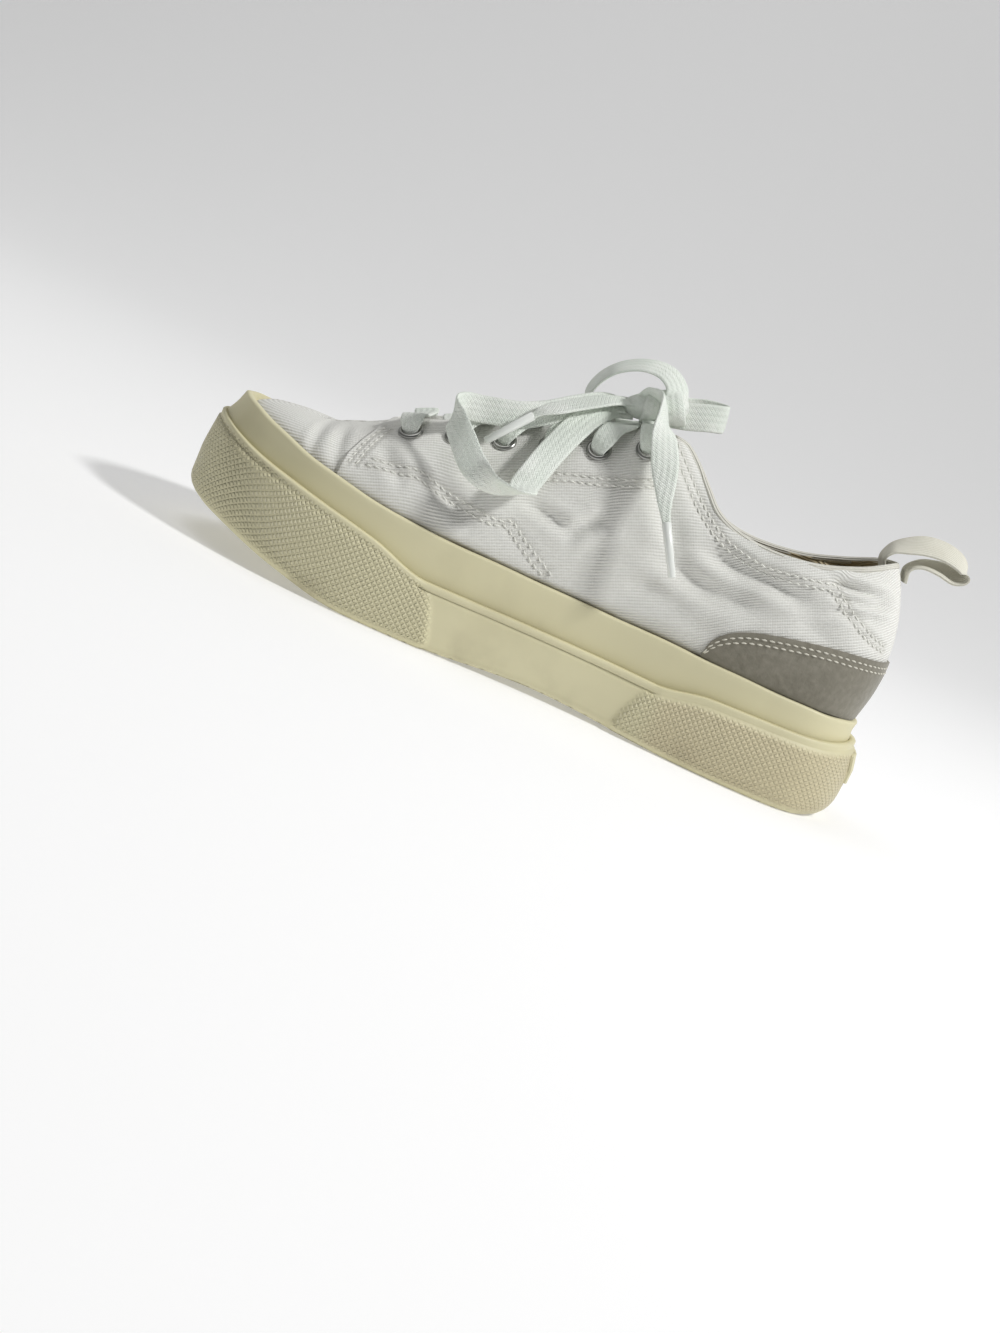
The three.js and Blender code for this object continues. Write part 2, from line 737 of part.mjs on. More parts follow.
function laceStrip(rows, widths) {
  const spread = widths.map((share) => share * laceWidth);
  return strip(
    rows.map((row) => row.point),
    rows.map((row) => row.face),
    spread,
    laceThickness,
    false,
  );
}

// A row of lace that lies on the tongue under the throat.
function tongueRow(x, y, lift) {
  const face = lastNormal(x, y, tongueOutside);
  const point = new THREE.Vector3(x, y, lastHeight(x, y, tongueOutside));
  return { point: point.addScaledVector(face, clearance + laceThickness / 2 + lift), face };
}

// The bar across the lowest pair of eyelets.
const laceShoulder = (laceStart + throatHalfWidth) / 2;
function laceBar() {
  const half = [laceStart, laceShoulder, throatHalfWidth];
  const stops = [...half, 0, ...half.map((y) => -y).reverse()];
  const widths = [0.6, 0.9, 1, 1, 1, 0.9, 0.6];
  return laceStrip(stops.map((y) => laceRow(eyeletRows[0], y, 0)), widths);
}

// One half of a crossing, from an eyelet's side over the throat towards the next row's far eyelet.
// The lowest crossing comes out from under the edges, because the bar holds its eyelets.
function crossingStrip(row, side, lift) {
  const span = eyeletRows[row + 1] - eyeletRows[row];
  const across = [0.42, 0, -0.42, -0.76].map((share) => share * throatHalfWidth);
  const start = row === 0 ? [0.68 * throatHalfWidth] : [laceStart, laceShoulder, throatHalfWidth];
  const stops = [...start, ...across];
  const widths = row === 0 ? [0.6, 0.9, 0.9, 0.9, 0.55] : [0.6, 0.9, 1, 1, 1, 0.9, 0.55];
  const [from, to] = row === 0 ? [0.42, 1.02] : [0.15, 0.95];
  const rows = stops.map((y) => {
    const x = eyeletRows[row] + span * lerp(from, to, (laceStart - y) / (2 * laceStart));
    const raised = Math.abs(y) < throatHalfWidth / 2 ? lift : 0;
    return row === 0 ? tongueRow(x, y * side, raised) : laceRow(x, y * side, raised);
  });
  return laceStrip(rows, widths);
}

function laceCrossing(row) {
  return crossingStrip(row, 1, 0).add(crossingStrip(row, -1, laceThickness * 0.8));
}

// The lace's last run on one side, from the top eyelet up to the knot.
function laceTop(side) {
  const x = eyeletRows.at(-1);
  const rows = [
    laceRow(x, side * laceStart, 0),
    laceRow(x + 0.5, side * laceShoulder, 0),
    laceRow(x + 1, side * throatHalfWidth, 0.8),
    laceRow(x + 1.5, side * throatHalfWidth * 0.53, 3),
  ];
  return laceStrip(rows, [0.6, 0.9, 1, 0.8]);
}

// Free parts of the lace: the knot, the loops of the bow and the two ends. Each row is a point of the
// route, counted from the knot in shares of bowReach, and the direction its flat face looks in.
const bowReach = 70;
const knotPlace = 0.457; // share of soleLength from the heel
const knotSide = 3; // towards the inner side
const knotLift = 6.6; // over the eyestay's top corner
const knotTilt = 22; // degrees, the end towards the toe lower
const knotCentre = new THREE.Vector3(place(knotPlace), knotSide, upperHeight + knotLift);
const knotSize = new THREE.Vector3(11, 7.5, 5.4);
const routes = {
  loop_near: [
    { at: [0.119, 0, -0.077], face: [0.1, 0.5, 0.8] },
    { at: [0.194, 0.036, -0.092], face: [0.2, 0.7, 0.6] },
    { at: [0.263, 0.114, -0.142], face: [0.15, 0.85, 0.4] },
    { at: [0.34, 0.221, -0.269], face: [0.1, 0.95, 0.3] },
    { at: [0.397, 0.343, -0.42], face: [0, 1, 0.2] },
    { at: [0.433, 0.436, -0.551], face: [-0.1, 1, 0.15] },
    { at: [0.453, 0.5, -0.634], face: [0, 0.8, 0.6] },
    { at: [0.428, 0.543, -0.656], face: [0.2, 0.05, 1] },
    { at: [0.447, 0.571, -0.682], face: [0.25, -0.6, 0.75] },
    { at: [0.516, 0.579, -0.702], face: [0.2, -0.85, 0.5] },
    { at: [0.623, 0.55, -0.698], face: [0, -1, 0.15] },
    { at: [0.738, 0.507, -0.642], face: [-0.1, -1, 0] },
    { at: [0.839, 0.457, -0.556], face: [-0.2, -0.95, 0] },
    { at: [0.919, 0.4, -0.483], face: [-0.5, -0.85, 0.1] },
    { at: [0.948, 0.343, -0.436], face: [-0.95, -0.1, 0.3] },
    { at: [0.912, 0.279, -0.404], face: [-0.6, 0.75, 0.3] },
    { at: [0.831, 0.25, -0.385], face: [-0.1, 0.95, 0.3] },
    { at: [0.739, 0.243, -0.36], face: [0, 0.95, 0.3] },
    { at: [0.629, 0.229, -0.324], face: [0, 0.9, 0.4] },
    { at: [0.51, 0.186, -0.259], face: [0.1, 0.85, 0.5] },
    { at: [0.382, 0.1, -0.165], face: [0.1, 0.75, 0.6] },
    { at: [0.257, 0.014, -0.087], face: [0.1, 0.6, 0.7] },
    { at: [0.148, 0, -0.066], face: [0.1, 0.4, 0.9] },
  ],
  loop_top: [
    { at: [0.035, 0.029, 0.021], face: [-0.45, 0.8, 0.35] },
    { at: [-0.068, 0.054, 0.051], face: [-0.45, 0.8, 0.38] },
    { at: [-0.065, 0.043, 0.125], face: [-0.4, 0.75, 0.5] },
    { at: [0.019, 0, 0.185], face: [-0.1, 0.6, 0.75] },
    { at: [0.14, -0.029, 0.178], face: [0.33, 0.44, 0.83] },
    { at: [0.267, -0.057, 0.109], face: [0.5, 0.38, 0.75] },
    { at: [0.342, -0.086, 0.013], face: [0.86, 0.33, 0.39] },
    { at: [0.368, -0.114, -0.087], face: [0.88, 0.3, 0.2] },
    { at: [0.345, -0.136, -0.137], face: [0.8, 0.1, -0.3] },
    { at: [0.284, -0.171, -0.14], face: [0.2, -0.1, -0.9] },
    { at: [0.209, -0.193, -0.094], face: [-0.3, -0.1, -0.9] },
    { at: [0.137, -0.171, -0.042], face: [-0.3, -0.1, -0.9] },
  ],
  loop_back: [
    { at: [-0.085, -0.021, -0.001], face: [-0.2, 0.95, 0.2] },
    { at: [-0.185, -0.014, 0.027], face: [-0.1, 0.95, 0.2] },
    { at: [-0.278, -0.014, 0.063], face: [-0.1, 0.95, 0.2] },
    { at: [-0.347, -0.036, 0.084], face: [-0.6, 0.8, 0.2] },
    { at: [-0.371, -0.071, 0.094], face: [-1, 0, 0.2] },
    { at: [-0.347, -0.121, 0.094], face: [-0.6, -0.8, 0.2] },
    { at: [-0.271, -0.143, 0.084], face: [0.1, -0.95, 0.2] },
    { at: [-0.185, -0.136, 0.056], face: [0.1, -0.95, 0.2] },
    { at: [-0.071, -0.071, 0.027], face: [0.1, -0.95, 0.2] },
  ],
  end_front: [
    { at: [0.13, 0.014, -0.029], face: [0.3, 0.3, 0.9] },
    { at: [0.226, 0.079, -0.06], face: [0.33, 0.33, 0.87] },
    { at: [0.313, 0.143, -0.11], face: [0.35, 0.38, 0.85] },
    { at: [0.399, 0.2, -0.17], face: [0.35, 0.38, 0.85] },
    { at: [0.488, 0.257, -0.235], face: [0.35, 0.4, 0.83] },
    { at: [0.571, 0.3, -0.286], face: [0.35, 0.45, 0.8] },
  ],
  end_hanging: [
    { at: [0.047, 0.014, 0.021], face: [-0.1, 0.3, 0.9] },
    { at: [0.011, 0.114, 0.054], face: [-0.5, 0.4, 0.7] },
    { at: [-0.031, 0.186, 0.038], face: [-0.85, 0.45, 0.2] },
    { at: [-0.06, 0.271, -0.037], face: [-0.8, 0.6, 0.1] },
    { at: [-0.104, 0.336, -0.127], face: [-0.35, 0.92, 0.15] },
    { at: [-0.154, 0.386, -0.226], face: [-0.1, 0.98, 0.15] },
    { at: [-0.201, 0.429, -0.325], face: [0, 0.98, 0.15] },
    { at: [-0.248, 0.46, -0.425], face: [0, 0.98, 0.15] },
    { at: [-0.292, 0.476, -0.499], face: [0, 0.98, 0.15] },
  ],
};
const routePoint = (row) => new THREE.Vector3(...row.at).multiplyScalar(bowReach).add(knotCentre);

// A free stretch of lace along its route.
function freeLace(route, steps, narrowEnd = false) {
  const path = new THREE.CatmullRomCurve3(route.map(routePoint));
  const faces = new THREE.CatmullRomCurve3(route.map((row) => new THREE.Vector3(...row.face)));
  const points = path.getPoints(steps);
  const ups = faces.getPoints(steps);
  const widths = points.map((_, i) => {
    const share = narrowEnd ? smoothstep(i / steps, 0.55, 1) : 0;
    return lerp(looseWidth, 2 * agletRadius, share);
  });
  return strip(points, ups, widths, laceThickness);
}

// The tip at the end of a lace, in line with its last stretch.
function agletGeometry(route) {
  const end = routePoint(route.at(-1));
  const before = routePoint(route.at(-2));
  const ahead = end.clone().sub(before).normalize();
  const geometry = new THREE.CylinderGeometry(agletRadius, agletRadius * 0.8, agletLength, 10);
  geometry.rotateX(Math.PI).translate(0, agletLength / 2 + clearance, 0);
  const turn = new THREE.Quaternion().setFromUnitVectors(new THREE.Vector3(0, 1, 0), ahead);
  return geometry.applyQuaternion(turn).translate(end.x, end.y, end.z);
}

// Pull loop: webbing that rises inside the collar, runs out behind the heel and comes back below.
// Its rows are counted from the collar's back corner in shares of pullReach.
const pullTable = [
  { back: -0.235, up: -0.268 },
  { back: -0.31, up: -0.143 },
  { back: -0.348, up: -0.018 },
  { back: -0.268, up: 0.148 },
  { back: -0.068, up: 0.286 },
  { back: 0.223, up: 0.411 },
  { back: 0.557, up: 0.44 },
  { back: 0.819, up: 0.373 },
  { back: 0.923, up: 0.265 },
  { back: 0.798, up: 0.173 },
  { back: 0.515, up: 0.165 },
  { back: 0.244, up: 0.107 },
  { back: 0.086, up: -0.035 },
  { back: 0.111, up: -0.247 },
];
const pullSteps = 30;
function pullLoopSolid() {
  const corner = new THREE.Vector3(place(collarLine[0].along), 0, collarLine[0].up * upperHeight);
  const rows = pullTable.map((row) => new THREE.Vector3(-row.back, 0, row.up));
  const path = new THREE.CatmullRomCurve3(rows.map((row) => row.multiplyScalar(pullReach).add(corner)));
  const points = path.getPoints(pullSteps);
  const ups = points.map((_, i) => {
    const share = i / pullSteps;
    const turned = smoothstep(share, 0.1, 0.4) * (1 - smoothstep(share, 0.65, 0.95));
    const tilt = degToRad(webbingTilt) * turned;
    const across = new THREE.Vector3(0, Math.cos(tilt), -Math.sin(tilt));
    const ahead = points[Math.min(i + 1, pullSteps)].clone().sub(points[Math.max(i - 1, 0)]);
    return ahead.cross(across);
  });
  return strip(points, ups, webbingWidth, webbingThickness, false);
}

// Materials
const finish = (color, roughness, metalness = 0) =>
  new THREE.MeshStandardMaterial({ color, roughness, metalness });
const rubber = finish(0xd9d3ac, 0.5);
const canvas = finish(0xdfe1dc, 0.9);
const suede = finish(0xa09c8c, 0.95);
const lining = finish(0xcdbd9d, 0.9);
const webbing = finish(0xe6e3cf, 0.85);
const lace = finish(0xe4eae4, 0.8);
const metal = finish(0x8a8a86, 0.3, 1);
const tip = finish(0xf2f4f0, 0.25);

// The shoe: solid pieces first, then the lace's free parts
const shoe = new THREE.Group();
function addPiece(name, geometry, material) {
  const mesh = new THREE.Mesh(geometry, material);
  mesh.name = name;
  shoe.add(mesh);
}

addPiece("outsole", outsoleGeometry(), rubber);
addPiece("foxing", bandGeometry(), rubber);
addPiece("insole", insoleGeometry(), lining);
addPiece("upper", geometryOf(upperSolid()), canvas);
addPiece("tongue", geometryOf(tongueSolid()), canvas);
addPiece("heel_counter", geometryOf(counterSolid()), suede);
addPiece("heel_label", geometryOf(labelSolid()), rubber);
addPiece("pull_loop", geometryOf(pullLoopSolid()), webbing);
for (const { name, frame } of eyeletPlaces) {
  addPiece(name, eyeletGeometry().applyMatrix4(frame), metal);
}
addPiece("lace_bar", geometryOf(laceBar()), lace);
for (let row = 0; row < eyeletCount - 1; row += 1) {
  addPiece(`lace_crossing_${row + 1}`, geometryOf(laceCrossing(row)), lace);
}
const knotShape = (grow) => {
  const size = knotSize.clone().addScalar(grow);
  const ball = new THREE.SphereGeometry(1, 12, 8).scale(size.x, size.y, size.z);
  return ball.rotateY(degToRad(knotTilt)).translate(knotCentre.x, knotCentre.y, knotCentre.z);
};
const aroundKnot = solid(knotShape(clearance));
addPiece("lace_top_inner", geometryOf(laceTop(1).subtract(aroundKnot)), lace);
addPiece("lace_top_outer", geometryOf(laceTop(-1).subtract(aroundKnot)), lace);

// The middle of the solid pieces stands over the origin, with the tread on the floor
const reach = new THREE.Box3().setFromObject(shoe);
const centre = reach.getCenter(new THREE.Vector3());

addPiece("lace_knot", knotShape(0), lace);
addPiece("loop_near", geometryOf(freeLace(routes.loop_near, 26).subtract(aroundKnot)), lace);
addPiece("loop_top", geometryOf(freeLace(routes.loop_top, 20).subtract(aroundKnot)), lace);
addPiece("loop_back", geometryOf(freeLace(routes.loop_back, 14).subtract(aroundKnot)), lace);
addPiece("end_front", geometryOf(freeLace(routes.end_front, 8, true).subtract(aroundKnot)), lace);
addPiece("end_hanging", geometryOf(freeLace(routes.end_hanging, 10, true).subtract(aroundKnot)), lace);
addPiece("aglet_front", agletGeometry(routes.end_front), tip);
addPiece("aglet_hanging", agletGeometry(routes.end_hanging), tip);

shoe.position.set(-centre.x, -centre.y, -reach.min.z);

export default shoe;
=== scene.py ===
from math import atan, cos, pi, radians, sin, tan

import bpy
import numpy as np
from mathutils import Matrix, Vector


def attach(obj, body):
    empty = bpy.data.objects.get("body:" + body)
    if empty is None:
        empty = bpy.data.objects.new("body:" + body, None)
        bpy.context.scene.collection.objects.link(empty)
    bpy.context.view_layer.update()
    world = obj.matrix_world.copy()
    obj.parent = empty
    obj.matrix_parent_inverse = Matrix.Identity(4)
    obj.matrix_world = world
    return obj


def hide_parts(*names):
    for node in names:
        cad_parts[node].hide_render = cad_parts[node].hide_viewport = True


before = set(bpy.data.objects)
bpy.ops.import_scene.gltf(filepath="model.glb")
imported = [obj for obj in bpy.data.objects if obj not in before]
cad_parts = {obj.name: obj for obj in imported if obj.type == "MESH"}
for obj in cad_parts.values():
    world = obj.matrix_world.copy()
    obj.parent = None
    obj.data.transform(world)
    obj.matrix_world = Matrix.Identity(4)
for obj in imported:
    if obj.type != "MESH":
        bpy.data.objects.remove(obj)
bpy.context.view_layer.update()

# %% [markdown]
# Sizes. The shoe's own coordinates are millimetres: x runs from heel to toe, y towards the inner
# side of the foot and z up from the floor. SHIFT takes them to the frame of the solid model.
# %% Sizes
SHIFT = np.array([3.37, 4.22, 0.0])
SOLE_LENGTH = 280.0
BALL_WIDTH = 102.0
RUBBER_HEIGHT = 40.0
UPPER_HEIGHT = 108.0
CANVAS = 1.6
QUARTER_STEP = 0.75
SUEDE = 1.1
BAND_INSET = 6.0
BAND_THICKNESS = 2.6
TOE_BAND_SHARE = 0.65
CLEARANCE = 0.3
PAD_STEP = 1.2
BEAD_HEIGHT = 3.2
BEAD_STEP = 0.9
PAD_LIP = 1.6
UPPER_INSET = BAND_INSET + BAND_THICKNESS + CLEARANCE + 0.7
BLOCK_INSET = UPPER_INSET + CANVAS + CLEARANCE
HEEL_CENTRE = 0.15
TOE_CENTRE = 0.857
THROAT_FRONT = 0.772
THROAT_HALF = 9.5
EYELET_SIDE = 19.5
EYELET_RADIUS = 4.8
EYELET_BORE = 2.7
LACE_WIDTH = 9.5
LACE_THICKNESS = 1.3
LOOSE_WIDTH = 10.5
TONGUE_THICKNESS = 2.2
TONGUE_BACK = 0.378
TONGUE_FRONT = 0.8
TONGUE_TAPER = 6.0
FIRST_EYELET = 0.739
LAST_EYELET = 0.443
EYELET_PAIRS = 6
COLLAR_DROP = 2.4
SEAM_GAP = 0.25
MIDDLE = np.array([0, 0, 50])

# Outline seen from above, from the heel along the inner side to the toe and back.
OUTLINE = np.array([
    [0, 0], [0.02, 0.195], [0.075, 0.325], [0.165, 0.368], [0.28, 0.362], [0.39, 0.352],
    [0.5, 0.378], [0.61, 0.428], [0.725, 0.459], [0.83, 0.443], [0.91, 0.37], [0.97, 0.24],
    [1, 0.07], [0.985, -0.11], [0.93, -0.29], [0.85, -0.43], [0.755, -0.515], [0.655, -0.541],
    [0.55, -0.487], [0.44, -0.408], [0.33, -0.365], [0.22, -0.355], [0.12, -0.335], [0.04, -0.25],
])

# Sections of the sole, as shares of its height: place, tread, corner, rise, lean, shoulder,
# ridge, band, seat, floor and tuck.
SOLE = np.array([
    [0, 0.055, 0.11, 0.22, 0, 0.08, 0.81, 0.985, 0.65, 0.8, 0],
    [0.07, 0, 0.11, 0.2, 0, 0.054, 0.75, 0.99, 0.6, 0.79, 0],
    [0.23, 0, 0.09, 0.13, 0, 0.045, 0.695, 0.985, 0.55, 0.76, 0],
    [0.305, 0.02, 0.07, 0.1, 0, 0.03, 0.6, 0.995, 0.45, 0.73, 0],
    [0.45, 0.065, 0.065, 0.1, 0, 0.03, 0.6, 0.985, 0.45, 0.69, 0],
    [0.63, 0, 0.07, 0.1, 0, 0.03, 0.6, 1.012, 0.45, 0.64, 0],
    [0.715, 0, 0.09, 0.13, 0, 0.03, 0.76, 1.05, 0.56, 0.64, 0],
    [0.83, 0.12, 0.12, 0.16, 0.005, 0.035, 0.905, 1.165, 0.6, 0.7, 0],
    [0.91, 0.235, 0.15, 0.17, 0.01, 0.05, 1, 1.29, 0.67, 0.77, 0.015],
    [1, 0.34, 0.18, 0.15, 0, 0.054, 1.165, 1.4, 0.75, 0.85, 0.045],
])
SOLE_NAMES = ["tread", "corner", "rise", "lean", "shoulder", "ridge", "band", "seat", "floor", "tuck"]

# Sections of the upper: place, crown and widest height, swell and roundness of the arch.
UPPER = np.array([
    [0.03, 1.037, 0.537, 0.0216, 1.9],
    [0.15, 1.037, 0.52, 0.0216, 2],
    [0.2, 1.015, 0.495, 0.0216, 2.3],
    [0.29, 0.99, 0.444, 0.016, 1.93],
    [0.357, 0.988, 0.426, 0.015, 2.02],
    [0.42, 1.009, 0.407, 0.013, 2.8],
    [0.5, 0.935, 0.389, 0.01, 2.38],
    [0.6, 0.833, 0.387, 0.005, 1.97],
    [0.714, 0.724, 0.385, 0, 1.7],
    [0.771, 0.642, 0.388, 0, 1.8],
    [0.825, 0.569, 0.395, 0, 2.1],
    [0.857, 0.541, 0.42, 0, 2.3],
    [0.96, 0.541, 0.455, 0, 2.8],
])

# Side views: share along the shoe and share of the upper's height.
COLLAR = np.array([
    [0.062, 0.93], [0.082, 0.914], [0.125, 0.861], [0.179, 0.811], [0.25, 0.787], [0.293, 0.799],
    [0.325, 0.832], [0.35, 0.89], [0.379, 0.958], [0.4, 0.992], [0.425, 1.0],
])
QUARTER = np.array([[0.8, 0.3], [0.797, 0.5], [0.79, 0.555], [0.78, 0.61], [0.77, 0.65], [0.762, 0.75]])
# Here the second column counts from the rubber's height up to the upper's.
COUNTER = np.array([
    [0.266, 0.012], [0.262, 0.095], [0.25, 0.166], [0.225, 0.23], [0.19, 0.278], [0.12, 0.341],
    [0.06, 0.365], [-0.05, 0.369],
])

# %% [markdown]
# Section curves. A column of a table becomes a smooth curve along the shoe that never runs past
# its rows, and the outline is a closed spline through its points.
# %% Section curves
def place(share):
    return (share - 0.5) * SOLE_LENGTH


def column(rows, index, size):
    x = place(rows[:, 0])
    y = rows[:, index] * size
    slope = np.diff(y) / np.diff(x)
    before = np.r_[slope[0], slope]
    after = np.r_[slope, slope[-1]]
    both = before * after > 0
    total = np.where(both, before + after, 1)
    tangent = np.where(both, 2 * before * after / total, 0)

    def at(value):
        p = np.clip(value, x[0], x[-1])
        i = np.clip(np.searchsorted(x, p) - 1, 0, len(x) - 2)
        width = x[i + 1] - x[i]
        t = (p - x[i]) / width
        rise = y[i + 1] - y[i]
        a = tangent[i] * width
        b = tangent[i + 1] * width
        return y[i] + t * (a + t * (3 * rise - 2 * a - b + t * (a + b - 2 * rise)))

    return at


sole = {name: column(SOLE, i + 1, RUBBER_HEIGHT) for i, name in enumerate(SOLE_NAMES)}
crown = column(UPPER, 1, UPPER_HEIGHT)
widest = column(UPPER, 2, UPPER_HEIGHT)
bulge = column(UPPER, 3, BALL_WIDTH)
roundness = column(UPPER, 4, 1)


def spline(points, count, closed=False):
    """A centripetal spline through points, sampled evenly from row to row."""
    p = np.asarray(points, float)
    if closed:
        p = np.vstack([p[-1], p, p[0], p[1]])
    else:
        p = np.vstack([2 * p[0] - p[1], p, 2 * p[-1] - p[-2]])
    spans = len(p) - 3
    at = np.linspace(0, spans, count, endpoint=not closed)
    i = np.minimum(at.astype(int), spans - 1)
    t = (at - i)[:, None]
    gap = np.maximum(np.sum(np.diff(p, axis=0) ** 2, axis=1) ** 0.25, 1e-4)[:, None]
    d0, d1, d2 = gap[i], gap[i + 1], gap[i + 2]
    p0, p1, p2, p3 = p[i], p[i + 1], p[i + 2], p[i + 3]
    m1 = ((p1 - p0) / d0 - (p2 - p0) / (d0 + d1) + (p2 - p1) / d1) * d1
    m2 = ((p2 - p1) / d1 - (p3 - p1) / (d1 + d2) + (p3 - p2) / d2) * d1
    rise = p2 - p1
    return p1 + t * (m1 + t * (3 * rise - 2 * m1 - m2 + t * (m1 + m2 - 2 * rise)))


EDGE = spline(np.c_[place(OUTLINE[:, 0]), OUTLINE[:, 1] * BALL_WIDTH], 7200, closed=True)
AHEAD = np.roll(EDGE, -1, axis=0) - np.roll(EDGE, 1, axis=0)
AHEAD /= np.linalg.norm(AHEAD, axis=1)[:, None]
TURN = np.arange(len(EDGE) + 1) / len(EDGE)


def around(values, u):
    return np.interp(np.mod(u, 1), TURN, np.r_[values, values[0]])


def edge_x(u):
    return around(EDGE[:, 0], u)


def plan(u, inset):
    """A point of the outline moved in from the sole's edge."""
    x = edge_x(u) + around(AHEAD[:, 1], u) * inset
    y = around(EDGE[:, 1], u) - around(AHEAD[:, 0], u) * inset
    return x, y


def middle_x(x):
    return np.clip(x, place(HEEL_CENTRE), place(TOE_CENTRE))


def unit(vectors):
    return vectors / np.maximum(np.linalg.norm(vectors, axis=-1, keepdims=True), 1e-9)


def smooth(x, low, high):
    t = np.clip((x - low) / (high - low), 0, 1)
    return t * t * (3 - 2 * t)


# %% [markdown]
# The surface of the last. A section runs straight up from the sole, swells to the widest line and
# closes over the foot as a rounded arch. It can be read by height or by the angle of the arch.
# %% Surface of the last
def wall_start(x):
    return np.minimum(sole["band"](x) + CLEARANCE, widest(x) - CLEARANCE)


def last_by_angle(u, angle, grow):
    x0 = edge_x(u)
    ex, ey = plan(u, UPPER_INSET + sole["tuck"](x0) - bulge(x0) - grow)
    mx = middle_x(ex)
    power = 2 / roundness(x0)
    reach = np.clip(np.cos(angle), 0, 1) ** power
    lift = np.clip(np.sin(angle), 0, 1) ** power
    z = widest(x0) + (crown(mx) + grow - widest(x0)) * lift
    return np.stack([mx + (ex - mx) * reach, ey * reach, z], -1)


def last_by_height(u, z, grow):
    x0 = edge_x(u)
    start = wall_start(x0)
    share = np.clip((z - start) / (widest(x0) - start), 0, 1)
    swell = bulge(x0) * np.sin(share * pi / 2)
    ex, ey = plan(u, UPPER_INSET + sole["tuck"](x0) - swell - grow)
    mx = middle_x(ex)
    round_ = roundness(x0)
    high = np.clip((z - widest(x0)) / (crown(mx) + grow - widest(x0)), 0, 1)
    reach = (1 - high ** round_) ** (1 / round_)
    return np.stack([mx + (ex - mx) * reach, ey * reach, z + 0 * reach], -1)


INNER_U = np.linspace(0.0, 0.5, 1500)
OUTER_U = np.linspace(1.0, 0.5, 1500)


def u_at(x, side):
    """The place on the outline of the section through x, on the inner or the outer side."""
    run = INNER_U if side > 0 else OUTER_U
    xs = np.maximum.accumulate(plan(run, UPPER_INSET)[0])
    return np.interp(x, xs, run)


def last_top(x, y, grow):
    """Height of the surface over a place between the heel's and the toe's centre."""
    x = np.asarray(x, float)
    y = np.asarray(y, float)
    u = np.where(y > 0, u_at(x, 1), u_at(x, -1))
    ey = plan(u, UPPER_INSET + sole["tuck"](x) - bulge(x) - grow)[1]
    round_ = roundness(x)
    share = np.clip(np.abs(y / ey), 0, 1)
    return widest(x) + (crown(x) + grow - widest(x)) * (1 - share ** round_) ** (1 / round_)


def last_normal(x, y, grow):
    d = 0.5
    slope_x = (last_top(x + d, y, grow) - last_top(x - d, y, grow)) / (2 * d)
    slope_y = (last_top(x, y + d, grow) - last_top(x, y - d, grow)) / (2 * d)
    return unit(np.stack([-slope_x, -slope_y, np.ones_like(slope_x)], -1))


COLLAR_TILT = tan(atan(COLLAR_DROP / (2 * EYELET_SIDE)) / 2)
COLLAR_CURVE = spline(np.c_[place(COLLAR[:, 0]), COLLAR[:, 1] * UPPER_HEIGHT], 400)
COUNTER_TOP = RUBBER_HEIGHT + COUNTER[:, 1] * (UPPER_HEIGHT - RUBBER_HEIGHT)
COUNTER_CURVE = spline(np.c_[place(COUNTER[:, 0]), COUNTER_TOP], 400)
THROAT_END = place(THROAT_FRONT) - THROAT_HALF


def over_cut(points):
    """How far a point lies past the collar's or the throat's edge; below nought it is cloth."""
    x, y, z = np.moveaxis(points, -1, 0)
    collar = np.interp(x, COLLAR_CURVE[:, 0], COLLAR_CURVE[:, 1], right=999) + y * COLLAR_TILT
    side = np.sqrt(np.maximum(THROAT_HALF ** 2 - np.maximum(x - THROAT_END, 0) ** 2, 0))
    throat = np.where((x > place(0.3)) & (side > 0), side - np.abs(y), -1)
    return np.maximum(z - collar, throat)


def cut_angle(u, grow):
    """The arch's angle at which each section meets the collar's or the throat's edge."""
    u = np.atleast_1d(u)
    angles = np.linspace(0, pi / 2, 361)
    over = over_cut(last_by_angle(u[:, None], angles[None, :], grow))
    first = np.argmax(over > 0, axis=1)
    row = np.arange(len(u))
    before = np.maximum(first - 1, 0)
    a, b = over[row, before], over[row, first]
    share = np.where(first > 0, a / np.where(a == b, -1, a - b), 0)
    found = angles[before] + share * (angles[1] - angles[0])
    return np.where(first > 0, found, pi / 2)


# %% [markdown]
# Soft troughs and ridges of the canvas. Each crease is a line in the side view, in millimetres:
# its two ends, its width, its depth, and the side of the shoe, 1 for the inner and -1 for the outer.
# %% Creases
CREASES = [
    (-96, 84.5, -121, 88, 1.9, 2.3, 1),
    (-98, 80, -125, 85.5, 2.1, 2.1, 1),
    (-101, 75.5, -124, 80, 2.4, 1.2, 1),
    (-44, 75, -104, 74.5, 4.2, 2.0, 1),
    (-33, 66.5, -80, 61.5, 5, 1.7, 1),
    (-58, 68, -112, 66, 4.5, 1.0, 1),
    (17, 64.5, -5, 61.5, 2.8, 1.3, 1),
    (-2, 60.5, -13, 71, 2.8, 1.2, 1),
    (-22, 92, -44, 70, 4.6, 1.1, 1),
    (52, 58, 30, 49, 3.6, 1.0, 1),
    (-30, 52, -56, 56, 4.6, 0.9, 1),
    (74, 60, 60, 52, 3, 0.7, 1),
    (-95, 84, -118, 86, 2.4, 1.8, -1),
    (-42, 76, -88, 74, 4.6, 1.5, -1),
    (-30, 66, -76, 61, 5, 1.3, -1),
    (20, 64, -6, 61, 3.6, 1.0, -1),
    (50, 57, 28, 49, 3.8, 0.9, -1),
    (90, 60, 86, 47, 2.4, 0.6, 1),
    (98, 58, 96, 47, 2.2, 0.5, 1),
    (90, 60, 86, 47, 2.4, 0.6, -1),
]
CREASE_DEPTH = 1.5  # times the depths above


